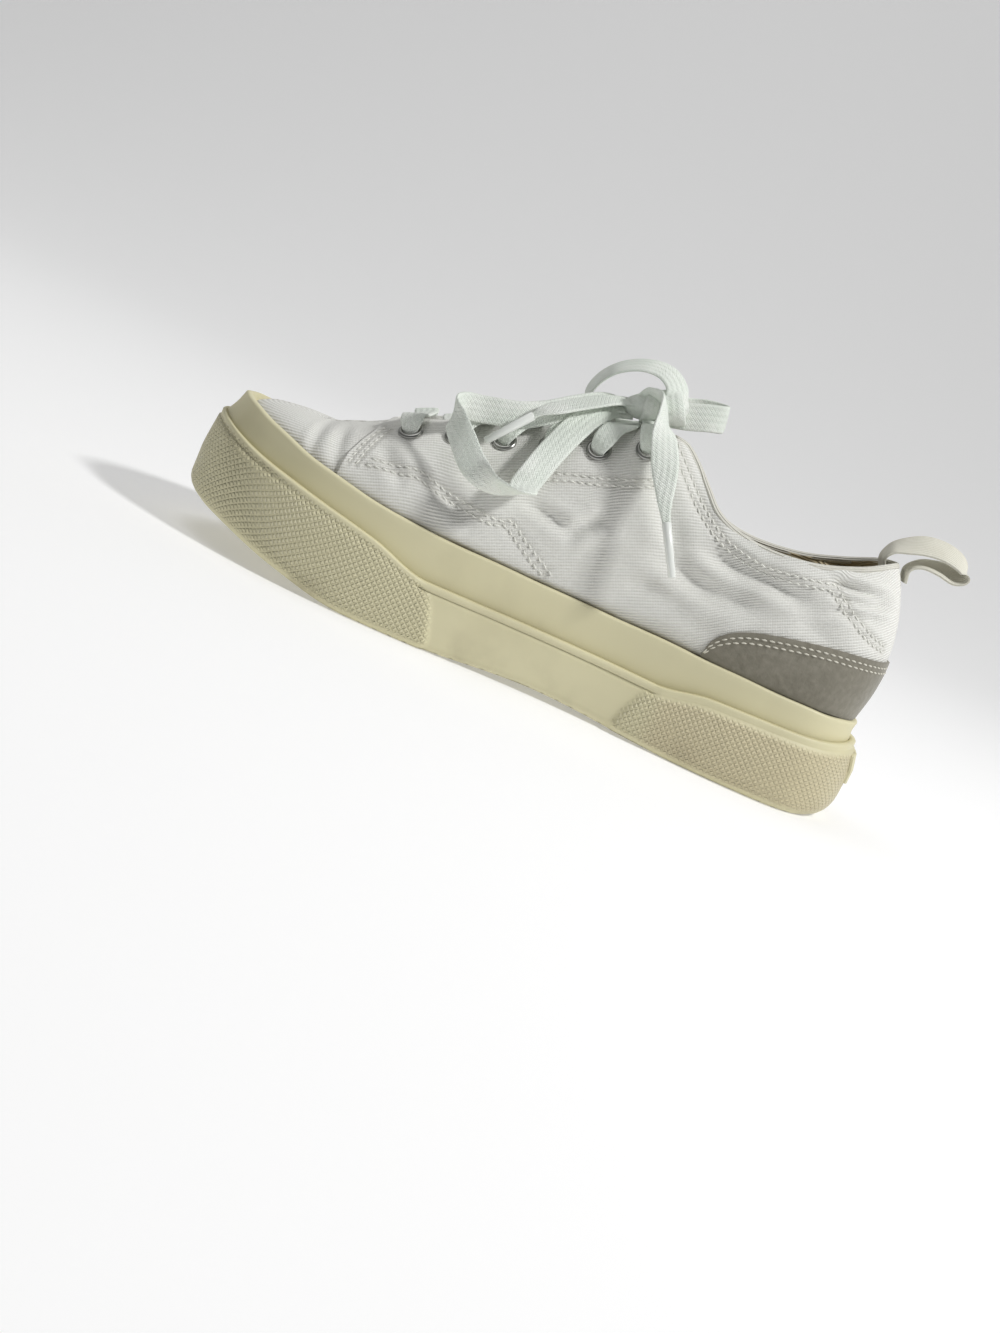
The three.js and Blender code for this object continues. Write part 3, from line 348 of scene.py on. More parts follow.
def creased(points):
    """How far the cloth stands out of the last at these points."""
    x, y, z = np.moveaxis(points, -1, 0)
    out = 0.25 * np.sin(x * 0.13 + z * 0.07 + 1) * np.sin(z * 0.17 - x * 0.05 + np.sign(y))
    out = out + 0.12 * np.sin(x * 0.31 - z * 0.23) * np.sin(z * 0.37 + x * 0.11)
    out = out * smooth(z, 45, 55)
    for x1, z1, x2, z2, width, depth, side in CREASES:
        dx, dz = x2 - x1, z2 - z1
        length = (dx * dx + dz * dz) ** 0.5
        along = ((x - x1) * dx + (z - z1) * dz) / length
        across = ((z - z1) * dx - (x - x1) * dz) / length
        across = across + 0.12 * width * np.sin(along * 0.22)
        fade = smooth(along, -width, length * 0.3) * (1 - smooth(along, length * 0.7, length + width))
        trough = np.exp(-((across / width) ** 2))
        ridge = np.exp(-(((np.abs(across) - 1.5 * width) / width) ** 2))
        out = out + fade * depth * CREASE_DEPTH * (0.45 * ridge - trough) * (np.sign(y) == side)
    return out


# %% [markdown]
# Mesh helpers. A skin starts as a grid primitive whose vertices are moved onto a shape; its UV
# map is in metres along the rows and columns.
# %% Mesh helpers
def pick(obj):
    bpy.ops.object.select_all(action="DESELECT")
    obj.select_set(True)
    bpy.context.view_layer.objects.active = obj


def to_frame(points):
    return (np.asarray(points, float) + SHIFT) / 1000


def on_mesh(obj, *steps):
    """Runs edit-mode steps on the whole of a mesh."""
    pick(obj)
    bpy.ops.object.mode_set(mode="EDIT")
    bpy.ops.mesh.select_all(action="SELECT")
    for step in steps:
        step()
    bpy.ops.object.mode_set(mode="OBJECT")


def turn_out():
    bpy.ops.mesh.normals_make_consistent(inside=False)


def skin(name, points, close_rows=False, close_columns=False, fill=False, outward=True):
    """A mesh through a table of points, rows by columns, in millimetres."""
    points = np.asarray(points, float)
    if close_rows:
        points = np.concatenate([points, points[:1]], 0)
    if close_columns:
        points = np.concatenate([points, points[:, :1]], 1)
    rows, columns = points.shape[:2]
    bpy.ops.mesh.primitive_grid_add(x_subdivisions=rows - 1, y_subdivisions=columns - 1, size=2)
    obj = bpy.context.object
    obj.name = name
    mesh = obj.data
    co = np.zeros(len(mesh.vertices) * 3)
    mesh.vertices.foreach_get("co", co)
    co = co.reshape(-1, 3)
    i = np.rint((co[:, 0] + 1) / 2 * (rows - 1)).astype(int)
    j = np.rint((co[:, 1] + 1) / 2 * (columns - 1)).astype(int)
    mesh.vertices.foreach_set("co", to_frame(points[i, j]).ravel())
    along = np.linalg.norm(np.diff(points, axis=0), axis=2).mean(1)
    across = np.linalg.norm(np.diff(points, axis=1), axis=2)
    u = np.r_[0, np.cumsum(along)] / 1000
    v = np.concatenate([np.zeros((rows, 1)), np.cumsum(across, 1)], 1) / 1000
    loops = np.zeros(len(mesh.loops), int)
    mesh.loops.foreach_get("vertex_index", loops)
    uv = np.stack([u[i[loops]], v[i[loops], j[loops]]], -1)
    mesh.uv_layers[0].data.foreach_set("uv", uv.ravel())
    mesh.update()
    steps = []
    if close_rows or close_columns or fill:
        steps.append(lambda: bpy.ops.mesh.remove_doubles(threshold=1e-6))
    if fill:
        steps.append(lambda: bpy.ops.mesh.fill_holes(sides=0))
    if outward:
        steps.append(turn_out)
    on_mesh(obj, *steps)
    bpy.ops.object.shade_smooth()
    return obj


def face_outwards(obj):
    """Turns a sheet so that most of its faces look away from the middle of the shoe."""
    middle = Vector(to_frame([[0, 0, 55]])[0])
    if sum((p.center - middle).dot(p.normal) * p.area for p in obj.data.polygons) < 0:
        on_mesh(obj, bpy.ops.mesh.flip_normals)


def sheet(name, points):
    """An open skin whose faces look out of the shoe."""
    obj = skin(name, points, outward=False)
    face_outwards(obj)
    return obj


def thicken(obj, thickness, round_edge, lined=False):
    """Gives a sheet a thickness inwards from its outer face, with a rounded rim."""
    pick(obj)
    wall = obj.modifiers.new("wall", "SOLIDIFY")
    wall.material_offset = 1 if lined else 0
    wall.thickness = thickness / 1000
    wall.offset = -1
    wall.use_even_offset = False
    bpy.ops.object.modifier_apply(modifier=wall.name)
    if round_edge:
        rim = obj.modifiers.new("rim", "BEVEL")
        rim.width = round_edge / 1000
        rim.segments = 2
        rim.limit_method = "ANGLE"
        rim.angle_limit = radians(50)
        bpy.ops.object.modifier_apply(modifier=rim.name)


def finished(obj, material, slot, *nodes):
    obj.data.materials.clear()
    obj.data.materials.append(material)
    if nodes:
        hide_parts(*nodes)
    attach(obj, "root")
    return obj


def mark(obj, name, value):
    """Keeps a number at each vertex, found from its place in the shoe's millimetres."""
    points = np.array([v.co[:] for v in obj.data.vertices]) * 1000 - SHIFT
    obj.data.attributes.new(name, "FLOAT", "POINT").data.foreach_set("value", value(points).astype(float))


def near_band(points):
    """1 at the side band's top edge, fading over the cloth above it and towards the toe: painted shade,
    with dirt, where the cloth meets the band.
    """
    edge = np.exp(-np.maximum(points[:, 2] - sole["band"](points[:, 0]), 0) / 1.1)
    return edge * (1 - 0.7 * smooth(points[:, 0], 50, 95))


def joined(objects, name):
    pick(objects[0])
    for other in objects:
        other.select_set(True)
    bpy.ops.object.join()
    obj = bpy.context.object
    obj.name = name
    return obj


# %% [markdown]
# Shader helpers: one call makes a node, and a small wrapper lets sockets be added and multiplied
# as numbers are.
# %% Shader helpers
def make(tree, kind, values=(), **settings):
    node = tree.nodes.new(kind)
    for key, value in settings.items():
        setattr(node, key, value)
    for key, value in dict(values).items():
        if isinstance(value, Socket):
            tree.links.new(value.socket, node.inputs[key])
        else:
            node.inputs[key].default_value = value
    return node


class Socket:
    def __init__(self, tree, socket):
        self.tree = tree
        self.socket = socket

    def math(self, operation, other):
        node = make(self.tree, "ShaderNodeMath", {0: self, 1: other}, operation=operation)
        return Socket(self.tree, node.outputs[0])

    def __add__(self, other):
        return self.math("ADD", other)

    def __sub__(self, other):
        return self.math("SUBTRACT", other)

    def __mul__(self, other):
        return self.math("MULTIPLY", other)

    def wave(self, pitch):
        """A triangle wave from 0 to 1, one per pitch."""
        return (self * (1 / pitch)).math("PINGPONG", 0.5) * 2.0

    def ramp(self, low, high, to_low=0.0, to_high=1.0):
        values = {"Value": self, 1: low, 2: high, 3: to_low, 4: to_high}
        node = make(self.tree, "ShaderNodeMapRange", values, interpolation_type="SMOOTHSTEP")
        return Socket(self.tree, node.outputs[0])


class Paint:
    """A material with its usual inputs at hand."""

    def __init__(self, name, roughness=0.6, metallic=0.0):
        self.material = bpy.data.materials.new(name)
        self.material.use_nodes = True
        self.tree = self.material.node_tree
        self.shader = self.tree.nodes["Principled BSDF"]
        self.shader.inputs["Roughness"].default_value = roughness
        self.shader.inputs["Metallic"].default_value = metallic
        place_node = make(self.tree, "ShaderNodeTexCoord")
        self.object = Socket(self.tree, place_node.outputs["Object"])
        self.x, self.y, self.z = self.split(self.object)
        self.u, self.v = self.split(Socket(self.tree, place_node.outputs["UV"]))[:2]

    def split(self, socket):
        node = make(self.tree, "ShaderNodeSeparateXYZ", {0: socket})
        return [Socket(self.tree, output) for output in node.outputs]

    def noise(self, scale, detail):
        values = {"Vector": self.object, "Scale": scale, "Detail": detail}
        return Socket(self.tree, make(self.tree, "ShaderNodeTexNoise", values).outputs[0])

    def mask(self, name):
        node = make(self.tree, "ShaderNodeAttribute", attribute_name=name)
        return Socket(self.tree, node.outputs["Fac"])

    def mix(self, share, first, second):
        node = make(self.tree, "ShaderNodeMix", {0: share, 6: first, 7: second}, data_type="RGBA")
        return Socket(self.tree, node.outputs[2])

    def colour(self, value):
        if isinstance(value, Socket):
            self.tree.links.new(value.socket, self.shader.inputs["Base Color"])
        else:
            self.shader.inputs["Base Color"].default_value = value

    def rough(self, value):
        self.tree.links.new(value.socket, self.shader.inputs["Roughness"])

    def bump(self, height, distance):
        node = make(self.tree, "ShaderNodeBump", {"Height": height, "Distance": distance, "Strength": 1.0})
        self.tree.links.new(node.outputs[0], self.shader.inputs["Normal"])


def rgb(red, green, blue):
    """A colour as seen on a screen, 0 to 255, as a shader takes it."""
    def linear(value):
        value /= 255
        return value / 12.92 if value <= 0.04045 else ((value + 0.055) / 1.055) ** 2.4
    return (linear(red), linear(green), linear(blue), 1)


# %% [markdown]
# Materials. Rubber has a diamond knurl on the toe and heel pads, canvas fine slanting ribs, the
# counter a napped suede, and the lace a flat weave.
# %% Materials
KNURL_PITCH = 0.0025
RIB_SLANT = radians(24)
RIB_PITCH = 0.00115


def rubber_paint(name, knurled):
    paint = Paint(name, 0.5)
    # Darker patches over the rubber, heavier towards the bottom.
    dirt_and_shade = paint.noise(28, 5).ramp(0.5, 0.75)
    low = paint.z.ramp(0.001, 0.014, 1.0, 0.0)
    clean = paint.mix(paint.noise(6, 2).ramp(0.35, 0.7), rgb(221, 215, 179), rgb(211, 204, 167))
    colour = paint.mix(dirt_and_shade * (low * 0.45 + 0.12), clean, rgb(128, 118, 92))
    paint.rough(paint.noise(60, 2).ramp(0.3, 0.7, 0.42, 0.58))
    grain = paint.noise(900, 2) * 0.03
    if knurled:
        pad = paint.mask("pad")
        first = (paint.u + paint.v).wave(KNURL_PITCH)
        second = (paint.u - paint.v).wave(KNURL_PITCH)
        diamond = first.math("MINIMUM", second).ramp(0.1, 0.65)
        tread = (paint.x.wave(0.006)).math("MAXIMUM", paint.y.wave(0.006)) * paint.mask("tread")
        grain = grain + diamond * pad * 0.7 + tread.math("POWER", 4.0) * 1.6
        # Painted shade in the recesses between the knurl's diamonds.
        gap = (diamond * -1.0 + 1.0) * pad * 0.18
        heel = paint.x.ramp(-0.06, -0.05, 0.35, 0.0) * pad
        warm = paint.mix(heel, colour, rgb(214, 196, 164))
        colour = paint.mix(gap, warm, rgb(158, 149, 112))
    paint.colour(colour)
    paint.bump(grain, 0.0007)
    return paint.material


def canvas_paint():
    paint = Paint("canvas", 0.92)
    across = paint.v * cos(RIB_SLANT) + paint.x * sin(RIB_SLANT) + paint.noise(45, 2) * 0.0003
    rib = across.wave(RIB_PITCH)
    thread = paint.noise(700, 2)
    weft = (paint.x * cos(RIB_SLANT) - paint.v * sin(RIB_SLANT)).wave(0.0006)
    tone = (rib * 0.55 + thread * 0.3 + paint.noise(16, 3) * 0.35).ramp(0.2, 0.9)
    cloth = paint.mix(tone, rgb(219, 218, 211), rgb(242, 242, 237))
    # Painted shade in the shallow troughs along the rows of stitches.
    cloth = paint.mix(paint.mask("seam") * 0.22, cloth, rgb(176, 172, 158))
    # Patchy dirt and painted shade, darker towards the bottom of the canvas.
    dirt_and_shade = paint.noise(22, 5).ramp(0.56, 0.78) * paint.z.ramp(0.044, 0.062, 0.28, 0.05)
    cloth = paint.mix(dirt_and_shade, cloth, rgb(150, 138, 112))
    # Painted shade and dirt along the band's top edge, where the cloth meets the rubber.
    edge = paint.mask("dirt_and_shade") * paint.noise(90, 3).ramp(0.2, 0.6, 0.5, 1.0)
    paint.colour(paint.mix(edge, cloth, rgb(104, 96, 76)))
    paint.bump(rib * 0.7 + weft * 0.2 + thread * 0.25 - paint.mask("seam") * 1.4, 0.00036)
    paint.shader.inputs["Sheen Weight"].default_value = 0.1
    return paint.material


def suede_paint():
    paint = Paint("suede", 0.95)
    nap = paint.noise(420, 4)
    cloud = paint.noise(40, 4)
    tone = paint.mix((nap * 0.5 + cloud * 0.5).ramp(0.35, 0.75), rgb(122, 118, 105), rgb(142, 138, 125))
    # Painted shade and dirt low on the counter, along the band's top edge.
    paint.colour(paint.mix(paint.mask("dirt_and_shade") * 0.6, tone, rgb(84, 80, 68)))
    paint.bump(nap + cloud * 0.2, 0.0003)
    paint.shader.inputs["Sheen Weight"].default_value = 0.3
    return paint.material


def lace_paint():
    paint = Paint("lace", 0.85)
    plait = (paint.u.wave(0.0017) + paint.v.wave(0.0023)).math("PINGPONG", 0.5)
    rib = paint.v.wave(0.0023)
    tone = paint.noise(60, 3).ramp(0.3, 0.75) * 0.6 + plait * 0.5 + rib * 0.1
    paint.colour(paint.mix(tone.ramp(0.1, 0.9), rgb(232, 239, 229), rgb(249, 252, 245)))
    paint.bump(plait * 0.8 + rib * 0.35 + paint.noise(900, 2) * 0.35, 0.0005)
    paint.shader.inputs["Sheen Weight"].default_value = 0.1
    return paint.material


def cloth_paint(name, first, second, pitch):
    paint = Paint(name, 0.9)
    rib = paint.v.wave(pitch)
    paint.colour(paint.mix(rib * 0.5 + paint.noise(120, 3) * 0.5, first, second))
    paint.bump(rib + paint.noise(600, 2) * 0.4, 0.0003)
    return paint.material


def plain_paint(name, colour, roughness, metallic=0.0):
    paint = Paint(name, roughness, metallic)
    paint.colour(colour)
    return paint.material


KNURLED = rubber_paint("rubber_sole", True)
SMOOTH_RUBBER = rubber_paint("rubber_band", False)
CANVAS_PAINT = canvas_paint()
SUEDE_PAINT = suede_paint()
LACE_PAINT = lace_paint()
LINING = cloth_paint("lining", rgb(176, 162, 130), rgb(204, 190, 158), 0.0012)
WEBBING = cloth_paint("webbing", rgb(208, 205, 188), rgb(240, 238, 226), 0.0012)
BINDING = cloth_paint("binding", rgb(208, 206, 195), rgb(234, 232, 222), 0.0009)
THREAD = plain_paint("thread", rgb(232, 232, 225), 0.8)
SUEDE_THREAD = plain_paint("suede_thread", rgb(214, 211, 198), 0.8)
NICKEL = plain_paint("nickel", rgb(160, 160, 156), 0.3, 1.0)
CLEAR_TIP = plain_paint("lace_tip", rgb(236, 239, 234), 0.18)

# %% [markdown]
# Sole: outsole with its knurled pads and bead, the smooth side band, and the insole.
# %% Sole
SAMPLES = np.arange(720) / 720
EDGE_X = edge_x(SAMPLES)


def waist_step(x, share):
    """How far the waist lies behind the pads, whose ends lean out and are rounded off at the top."""
    toe = np.interp(share, [0, 0.4, 0.75, 0.9, 1], [28.6, 30.5, 33.2, 35.5, 39])
    heel = np.interp(share, [0, 0.4, 0.75, 0.9, 1], [-46.4, -48.6, -51, -52.8, -56])
    return PAD_STEP * smooth(x, heel - 1.2, heel + 1.2) * (1 - smooth(x, toe - 1.2, toe + 1.2))


def band_foot(x):
    """Inset of the side band's foot, less at the toe."""
    return BAND_INSET * (1 - (1 - TOE_BAND_SHARE) * smooth(x, place(0.86), place(0.98)))


def ring(inset, z):
    x, y = plan(SAMPLES, inset)
    return np.stack([x, y, z + 0 * x], -1)


def spoke_ring(inset, share, height):
    """A ring part of the way from the shoe's middle line to the edge."""
    x, y = plan(SAMPLES, inset)
    mx = middle_x(x)
    x = mx + (x - mx) * share
    return np.stack([x, y * share, height(x)], -1)


# Rings of the bead: how far below the ridge and how far out, as shares of the bead, and how far back.
BEAD = [(0.92, 0, 0), (0.8, 0.75, 0), (0.6, 1, 0), (0.35, 1, 0), (0.15, 0.75, 0), (0, 0.1, 0.5)]


def outsole_rings():
    x = EDGE_X
    tread, ridge = sole["tread"], sole["ridge"](x)
    low = tread(x) + sole["rise"](x)
    rings = [spoke_ring(sole["corner"](x) + BAND_INSET / 2, share, tread) for share in (0.02, 0.35, 0.7, 1)]
    for angle in np.radians([12, 25, 40, 55, 72, 90]):
        inset = sole["corner"](x) * (1 - sin(angle)) + sole["lean"](x) + waist_step(x, 0)
        px, py = plan(SAMPLES, inset)
        rings.append(np.stack([px, py, tread(px) + sole["rise"](x) * (1 - cos(angle))], -1))
    for share in (0.15, 0.3, 0.45, 0.6, 0.75, 0.88, 1):
        z = low + (ridge - BEAD_HEIGHT - low) * share
        inset = sole["lean"](x) * (1 - share) + sole["shoulder"](x) * max(0, (share - 0.5) * 1.4)
        rings.append(ring(inset + waist_step(x, share), z))
    bead = np.where(waist_step(x, 1) > PAD_STEP / 2, BEAD_STEP, 0)
    base = sole["shoulder"](x) + waist_step(x, 1)
    for drop, out, back in BEAD:
        rings.append(ring(base - bead * out + back, ridge - BEAD_HEIGHT * drop))
    foot = band_foot(x) - CLEARANCE
    block = BLOCK_INSET + sole["tuck"](x)
    rings += [ring(foot, ridge - 0.2), ring(foot, sole["seat"](x)), ring(block, sole["seat"](x))]
    rings += [spoke_ring(block, share, sole["floor"]) for share in (1, 0.02)]
    return np.array(rings)


def on_pads(points):
    """1 on the knurled pads, which end below the lip at their top edge."""
    x, y, z = points.T
    tread = sole["tread"](x)
    low = tread + sole["rise"](x)
    high = sole["ridge"](x) - np.where(x > 0, PAD_LIP, BEAD_HEIGHT + 0.3)
    on_side = smooth(z - tread, 1.5, 3) * (1 - smooth(z, high - 0.2, high + 0.4))
    return on_side * (1 - waist_step(x, (z - low) / (high - low)) / PAD_STEP)


outsole = skin("outsole_body", outsole_rings().transpose(1, 0, 2), close_rows=True, fill=True)
mark(outsole, "pad", on_pads)
mark(outsole, "tread", lambda points: points[:, 2] < sole["tread"](points[:, 0]) + 0.4)
finished(outsole, KNURLED, "rubber", "outsole")


def foxing_rings():
    x = EDGE_X
    low = sole["seat"](x) + CLEARANCE
    band, ridge, tuck = sole["band"](x), sole["ridge"](x), sole["tuck"](x)
    wobble = 0.15 * np.sin(SAMPLES * 2 * pi * 9) + 0.1 * np.sin(SAMPLES * 2 * pi * 23)
    foot = band_foot(x)
    rings = [ring(foot, low), ring(foot, ridge)]
    for share in (0.2, 0.4, 0.6, 0.8):
        inset = foot + (BAND_INSET + tuck * 0.9 - foot) * share
        rings.append(ring(inset + 0.45 * sin(share * pi), ridge + (band - 1 - ridge) * share))
    for angle in np.radians([0, 22, 45, 68, 90]):
        inset = BAND_INSET + tuck * 0.95 + 1.1 * (1 - cos(angle))
        rings.append(ring(inset, band - 1.1 + 1.1 * sin(angle) + wobble))
    inside = BAND_INSET + BAND_THICKNESS + tuck
    rings += [ring(inside - 0.2, band + wobble), ring(inside, band - 0.3), ring(inside, low)]
    return np.array(rings)


foxing = skin("foxing_band", foxing_rings().transpose(1, 0, 2), close_rows=True, close_columns=True)
finished(foxing, SMOOTH_RUBBER, "rubber", "foxing")


# Rings of the insole: how far in, how high over the block, and share of the way from the middle.
INSOLE = [
    (0, 0.3, 0.02), (0, 0.3, 1), (0, 2.9, 1), (0.3, 3.5, 1), (0.9, 3.8, 1), (2, 3.8, 0.6), (2, 3.8, 0.02),
]


def insole_rings():
    inset = BLOCK_INSET + CLEARANCE + sole["tuck"](EDGE_X)
    rings = []
    for add, lift, share in INSOLE:
        rings.append(spoke_ring(inset + add, share, lambda at, lift=lift: sole["floor"](at) + lift))
    return np.array(rings)


insole = skin("insole_sheet", insole_rings().transpose(1, 0, 2), close_rows=True, fill=True)
finished(insole, LINING, "lining", "insole")

# %% [markdown]
# Upper: a liner that is the vamp in front and the lining inside, and over it the quarters with a
# slanting front edge.
# %% Upper
# Shares of a column of the upper: up to the side band's top edge, and up to the widest line.
FOOT = 0.08
WALL = 0.3

# The quarters' rows of stitches in the side view, in millimetres.
SEAMS = [
    [(81.6, 50.5), (80.7, 56), (79.2, 61), (76.6, 66)],
    [(78.8, 51), (77.9, 56.5), (76.4, 61.5), (74, 66.4)],
    [(75, 55), (62, 57.6), (56.6, 58.6), (44.4, 56.3), (34.5, 55), (22.3, 54.6), (19, 56.2), (11, 51.7),
     (3, 47.2), (-3.7, 43.7)],
    [(76, 52.4), (62, 55), (56.4, 56), (44.4, 53.8), (34.5, 52.6), (24, 52.2), (20.4, 53.6), (12.6, 49.3),
     (4.6, 44.8), (-0.6, 42.4)],
    [(26, 71.5), (16.3, 75.8), (6.2, 80), (-4.2, 83.3), (-13.3, 87), (-20.3, 89.8), (-26, 93.5)],
    [(26, 69), (16.3, 73.3), (6.2, 77.5), (-4.2, 80.8), (-13.3, 84.5), (-20.3, 87.3), (-27, 91.2)],
    [(-24.6, 106.4), (-30.8, 101), (-37.7, 94.3), (-45, 88.6), (-55.3, 82.4),
     (-70, 79.6), (-85.4, 81.5), (-99, 84.3)],
    [(-22.6, 104.4), (-29.2, 98.9), (-36.1, 92.2), (-43.6, 86.4), (-54.5, 80.2),
     (-70, 77.3), (-85.4, 79.2), (-99, 82)],
    [(-99, 84.3), (-105.8, 79.9), (-113.7, 75.6), (-120, 72.7), (-126.5, 70.7)],
    [(-97.8, 82), (-104.8, 77.6), (-112.9, 73.3), (-119.5, 70.4), (-126.8, 68.5)],
]


def near_seams(points):
    """1 on a row of stitches, fading within 2 mm."""
    nearest = np.full(len(points), 99.0)
    at = points[:, [0, 2]]
    for seam in SEAMS:
        for a, b in zip(np.array(seam[:-1], float), np.array(seam[1:], float)):
            way = b - a
            share = np.clip((at - a) @ way / (way @ way), 0, 1)
            nearest = np.minimum(nearest, np.linalg.norm(at - a - share[:, None] * way, axis=1))
    return np.exp(-((nearest / 1.1) ** 2))


def upper_points(u, t, grow):
    """Points of the upper; t runs from the sole at 0 to the collar's or throat's edge at 1."""
    x0 = edge_x(u)
    low = sole["seat"](x0) + CLEARANCE + 0 * t
    start = wall_start(x0)
    below = low + (start - low) * t / FOOT
    above = start + (widest(x0) - start) * (t - FOOT) / (WALL - FOOT)
    lower = last_by_height(u + 0 * t, np.where(t < FOOT, below, above), grow)
    angle = cut_at(u) * np.clip((t - WALL) / (1 - WALL), 0, 1)
    upper = last_by_angle(u + 0 * t, angle, grow)
    return np.where((t < WALL)[..., None], lower, upper)


CUT_U = np.linspace(0, 1, 3001)
CUT_ANGLES = cut_angle(CUT_U, QUARTER_STEP)


def cut_at(u):
    return np.interp(np.mod(u, 1), CUT_U, CUT_ANGLES)


def creased_points(points, amount=1.0):
    n = unit(np.cross(np.gradient(points, axis=0), np.gradient(points, axis=1)))
    outward = np.sign(np.sum(n * (points - MIDDLE), -1).mean())
    return points + n * outward * (creased(points) * amount)[..., None]


ROWS_T = np.r_[np.linspace(0, FOOT, 3), np.linspace(FOOT, WALL, 12)[1:], np.linspace(WALL, 1, 52)[1:]]
u_grid, t_grid = np.meshgrid(np.linspace(0, 1, 761), ROWS_T, indexing="ij")
liner_points = creased_points(upper_points(u_grid, t_grid, 0.0))
liner_points[-1] = liner_points[0]
liner = skin("vamp_and_lining", liner_points, outward=False)
on_mesh(liner, lambda: bpy.ops.mesh.remove_doubles(threshold=2e-6), turn_out)
face_outwards(liner)
finished(liner, CANVAS_PAINT, "canvas", "upper")
liner.data.materials.append(LINING)
mark(liner, "dirt_and_shade", near_band)
thicken(liner, CANVAS, 0.0, lined=True)


def quarter_grid(columns, rows):
    """The quarters from their front edge on the inner side, round the heel, to the outer side."""
    t = np.linspace(0, 1, rows)
    section_u = u_at(80.0, 1)
    z = upper_points(np.full(rows, section_u), t, QUARTER_STEP)[:, 2]
    order = np.argsort(QUARTER[:, 1])
    front = np.interp(z, QUARTER[order, 1] * UPPER_HEIGHT, place(QUARTER[order, 0]))
    s = np.linspace(0, 1, columns)[:, None]
    blend_x = 44.0  # from here on the columns stand straight across the shoe
    share = 0.12  # of the columns that lie in front of it, on each side
    inner_front, outer_front = u_at(front, 1)[None, :], u_at(front, -1)[None, :] - 1
    inner_mid, outer_mid = u_at(blend_x, 1), u_at(blend_x, -1) - 1
    first = inner_front + (inner_mid - inner_front) * s / share
    second = inner_mid + (outer_mid - inner_mid) * (s - share) / (1 - 2 * share)
    third = outer_mid + (outer_front - outer_mid) * (s - 1 + share) / share
    u = np.where(s < share, first, np.where(s > 1 - share, third, second))
    return u, t[None, :] + 0 * u


quarter_u, quarter_t = quarter_grid(620, 64)
quarter_points = creased_points(upper_points(quarter_u, quarter_t, QUARTER_STEP + SEAM_GAP))
quarters = sheet("quarters", quarter_points)
mark(quarters, "dirt_and_shade", near_band)
mark(quarters, "seam", near_seams)
thicken(quarters, 0.9, 0.25)
finished(quarters, CANVAS_PAINT, "canvas")

# %% [markdown]
# Heel counter of suede, from the band up to its own curved top edge.
# %% Counter
COUNTER_COLUMNS = 280
COUNTER_BACK = 0.0345  # the share along the shoe at which its two sides meet


def counter_grid(columns, rows):
    half = columns // 2
    line = COUNTER_CURVE[COUNTER_CURVE[:, 0] > place(COUNTER_BACK)]
    q = np.linspace(0, 1, half) ** 1.5
    index = q * (len(line) - 1)
    x = np.interp(index, np.arange(len(line)), line[:, 0])
    top = np.interp(index, np.arange(len(line)), line[:, 1])
    u = np.r_[u_at(x, 1), u_at(x[::-1], -1) - 1]
    top = np.r_[top, top[::-1]]
    low = sole["band"](edge_x(u)) + CLEARANCE
    t = np.linspace(0, 1, rows)[None, :]
    z = low[:, None] + np.maximum(top - low, 0.3)[:, None] * t
    return u[:, None] + 0 * z, z


COUNTER_GROW = QUARTER_STEP + SEAM_GAP + SUEDE
counter_u, counter_z = counter_grid(COUNTER_COLUMNS, 34)
counter_points = creased_points(last_by_height(counter_u, counter_z, COUNTER_GROW), 0.5)
counter = sheet("counter", counter_points)
mark(counter, "dirt_and_shade", near_band)
thicken(counter, SUEDE, 0.35)
finished(counter, SUEDE_PAINT, "suede", "heel_counter")

# %% [markdown]
# Tongue under the throat.
# %% Tongue
def tongue_points(rows, columns):
    back_end, front_end = place(TONGUE_BACK), place(TONGUE_FRONT)
    x = np.linspace(back_end, front_end, rows)[:, None]
    t = np.linspace(-1, 1, columns)[None, :]
    half = EYELET_SIDE + TONGUE_TAPER * (front_end - x) / (front_end - back_end)
    back = np.clip((x - back_end) / 9, 0, 1)
    half = half * (0.72 + 0.28 * np.sqrt(1 - (1 - back) ** 2))
    y = half * t
    z = last_top(x + 0 * y, y, -CANVAS - 0.9)
    puff = 0.9 * np.sin(x * 0.19 + 1) * np.sin(y * 0.16 + 0.6) * smooth(np.abs(y), 30, 6)
    return np.stack([x + 0 * y, y, z + puff * 0.5 - 0.4], -1)


tongue = skin("tongue_sheet", tongue_points(110, 60), outward=False)
up = sum(p.normal.z * p.area for p in tongue.data.polygons)
if up < 0:
    on_mesh(tongue, bpy.ops.mesh.flip_normals)
thicken(tongue, TONGUE_THICKNESS, 0.7)
finished(tongue, CANVAS_PAINT, "canvas", "tongue")

# %% [markdown]
# Strips along a line: the lace, the webbing and the collar's binding.
# %% Strips
def strip(name, points, faces, width, thickness, sides=16, boxiness=3.2):
    """A flat band with rounded edges along points; faces are the directions its flat side looks in."""
    points = np.asarray(points, float)
    ahead = unit(np.gradient(points, axis=0))
    across = unit(np.cross(np.asarray(faces, float), ahead))
    up = np.cross(ahead, across)
    angle = np.arange(sides) / sides * 2 * pi
    c, s = np.cos(angle), np.sin(angle)
    side = np.sign(c) * np.abs(c) ** (2 / boxiness) * 0.5
    lift = np.sign(s) * np.abs(s) ** (2 / boxiness) * 0.5
    width = np.broadcast_to(np.asarray(width, float), (len(points),))
    rows = (
        points[:, None, :]
        + across[:, None, :] * (side[None, :] * width[:, None])[..., None]
        + up[:, None, :] * (lift * thickness)[None, :, None]
    )
    return skin(name, rows, close_columns=True, fill=True)


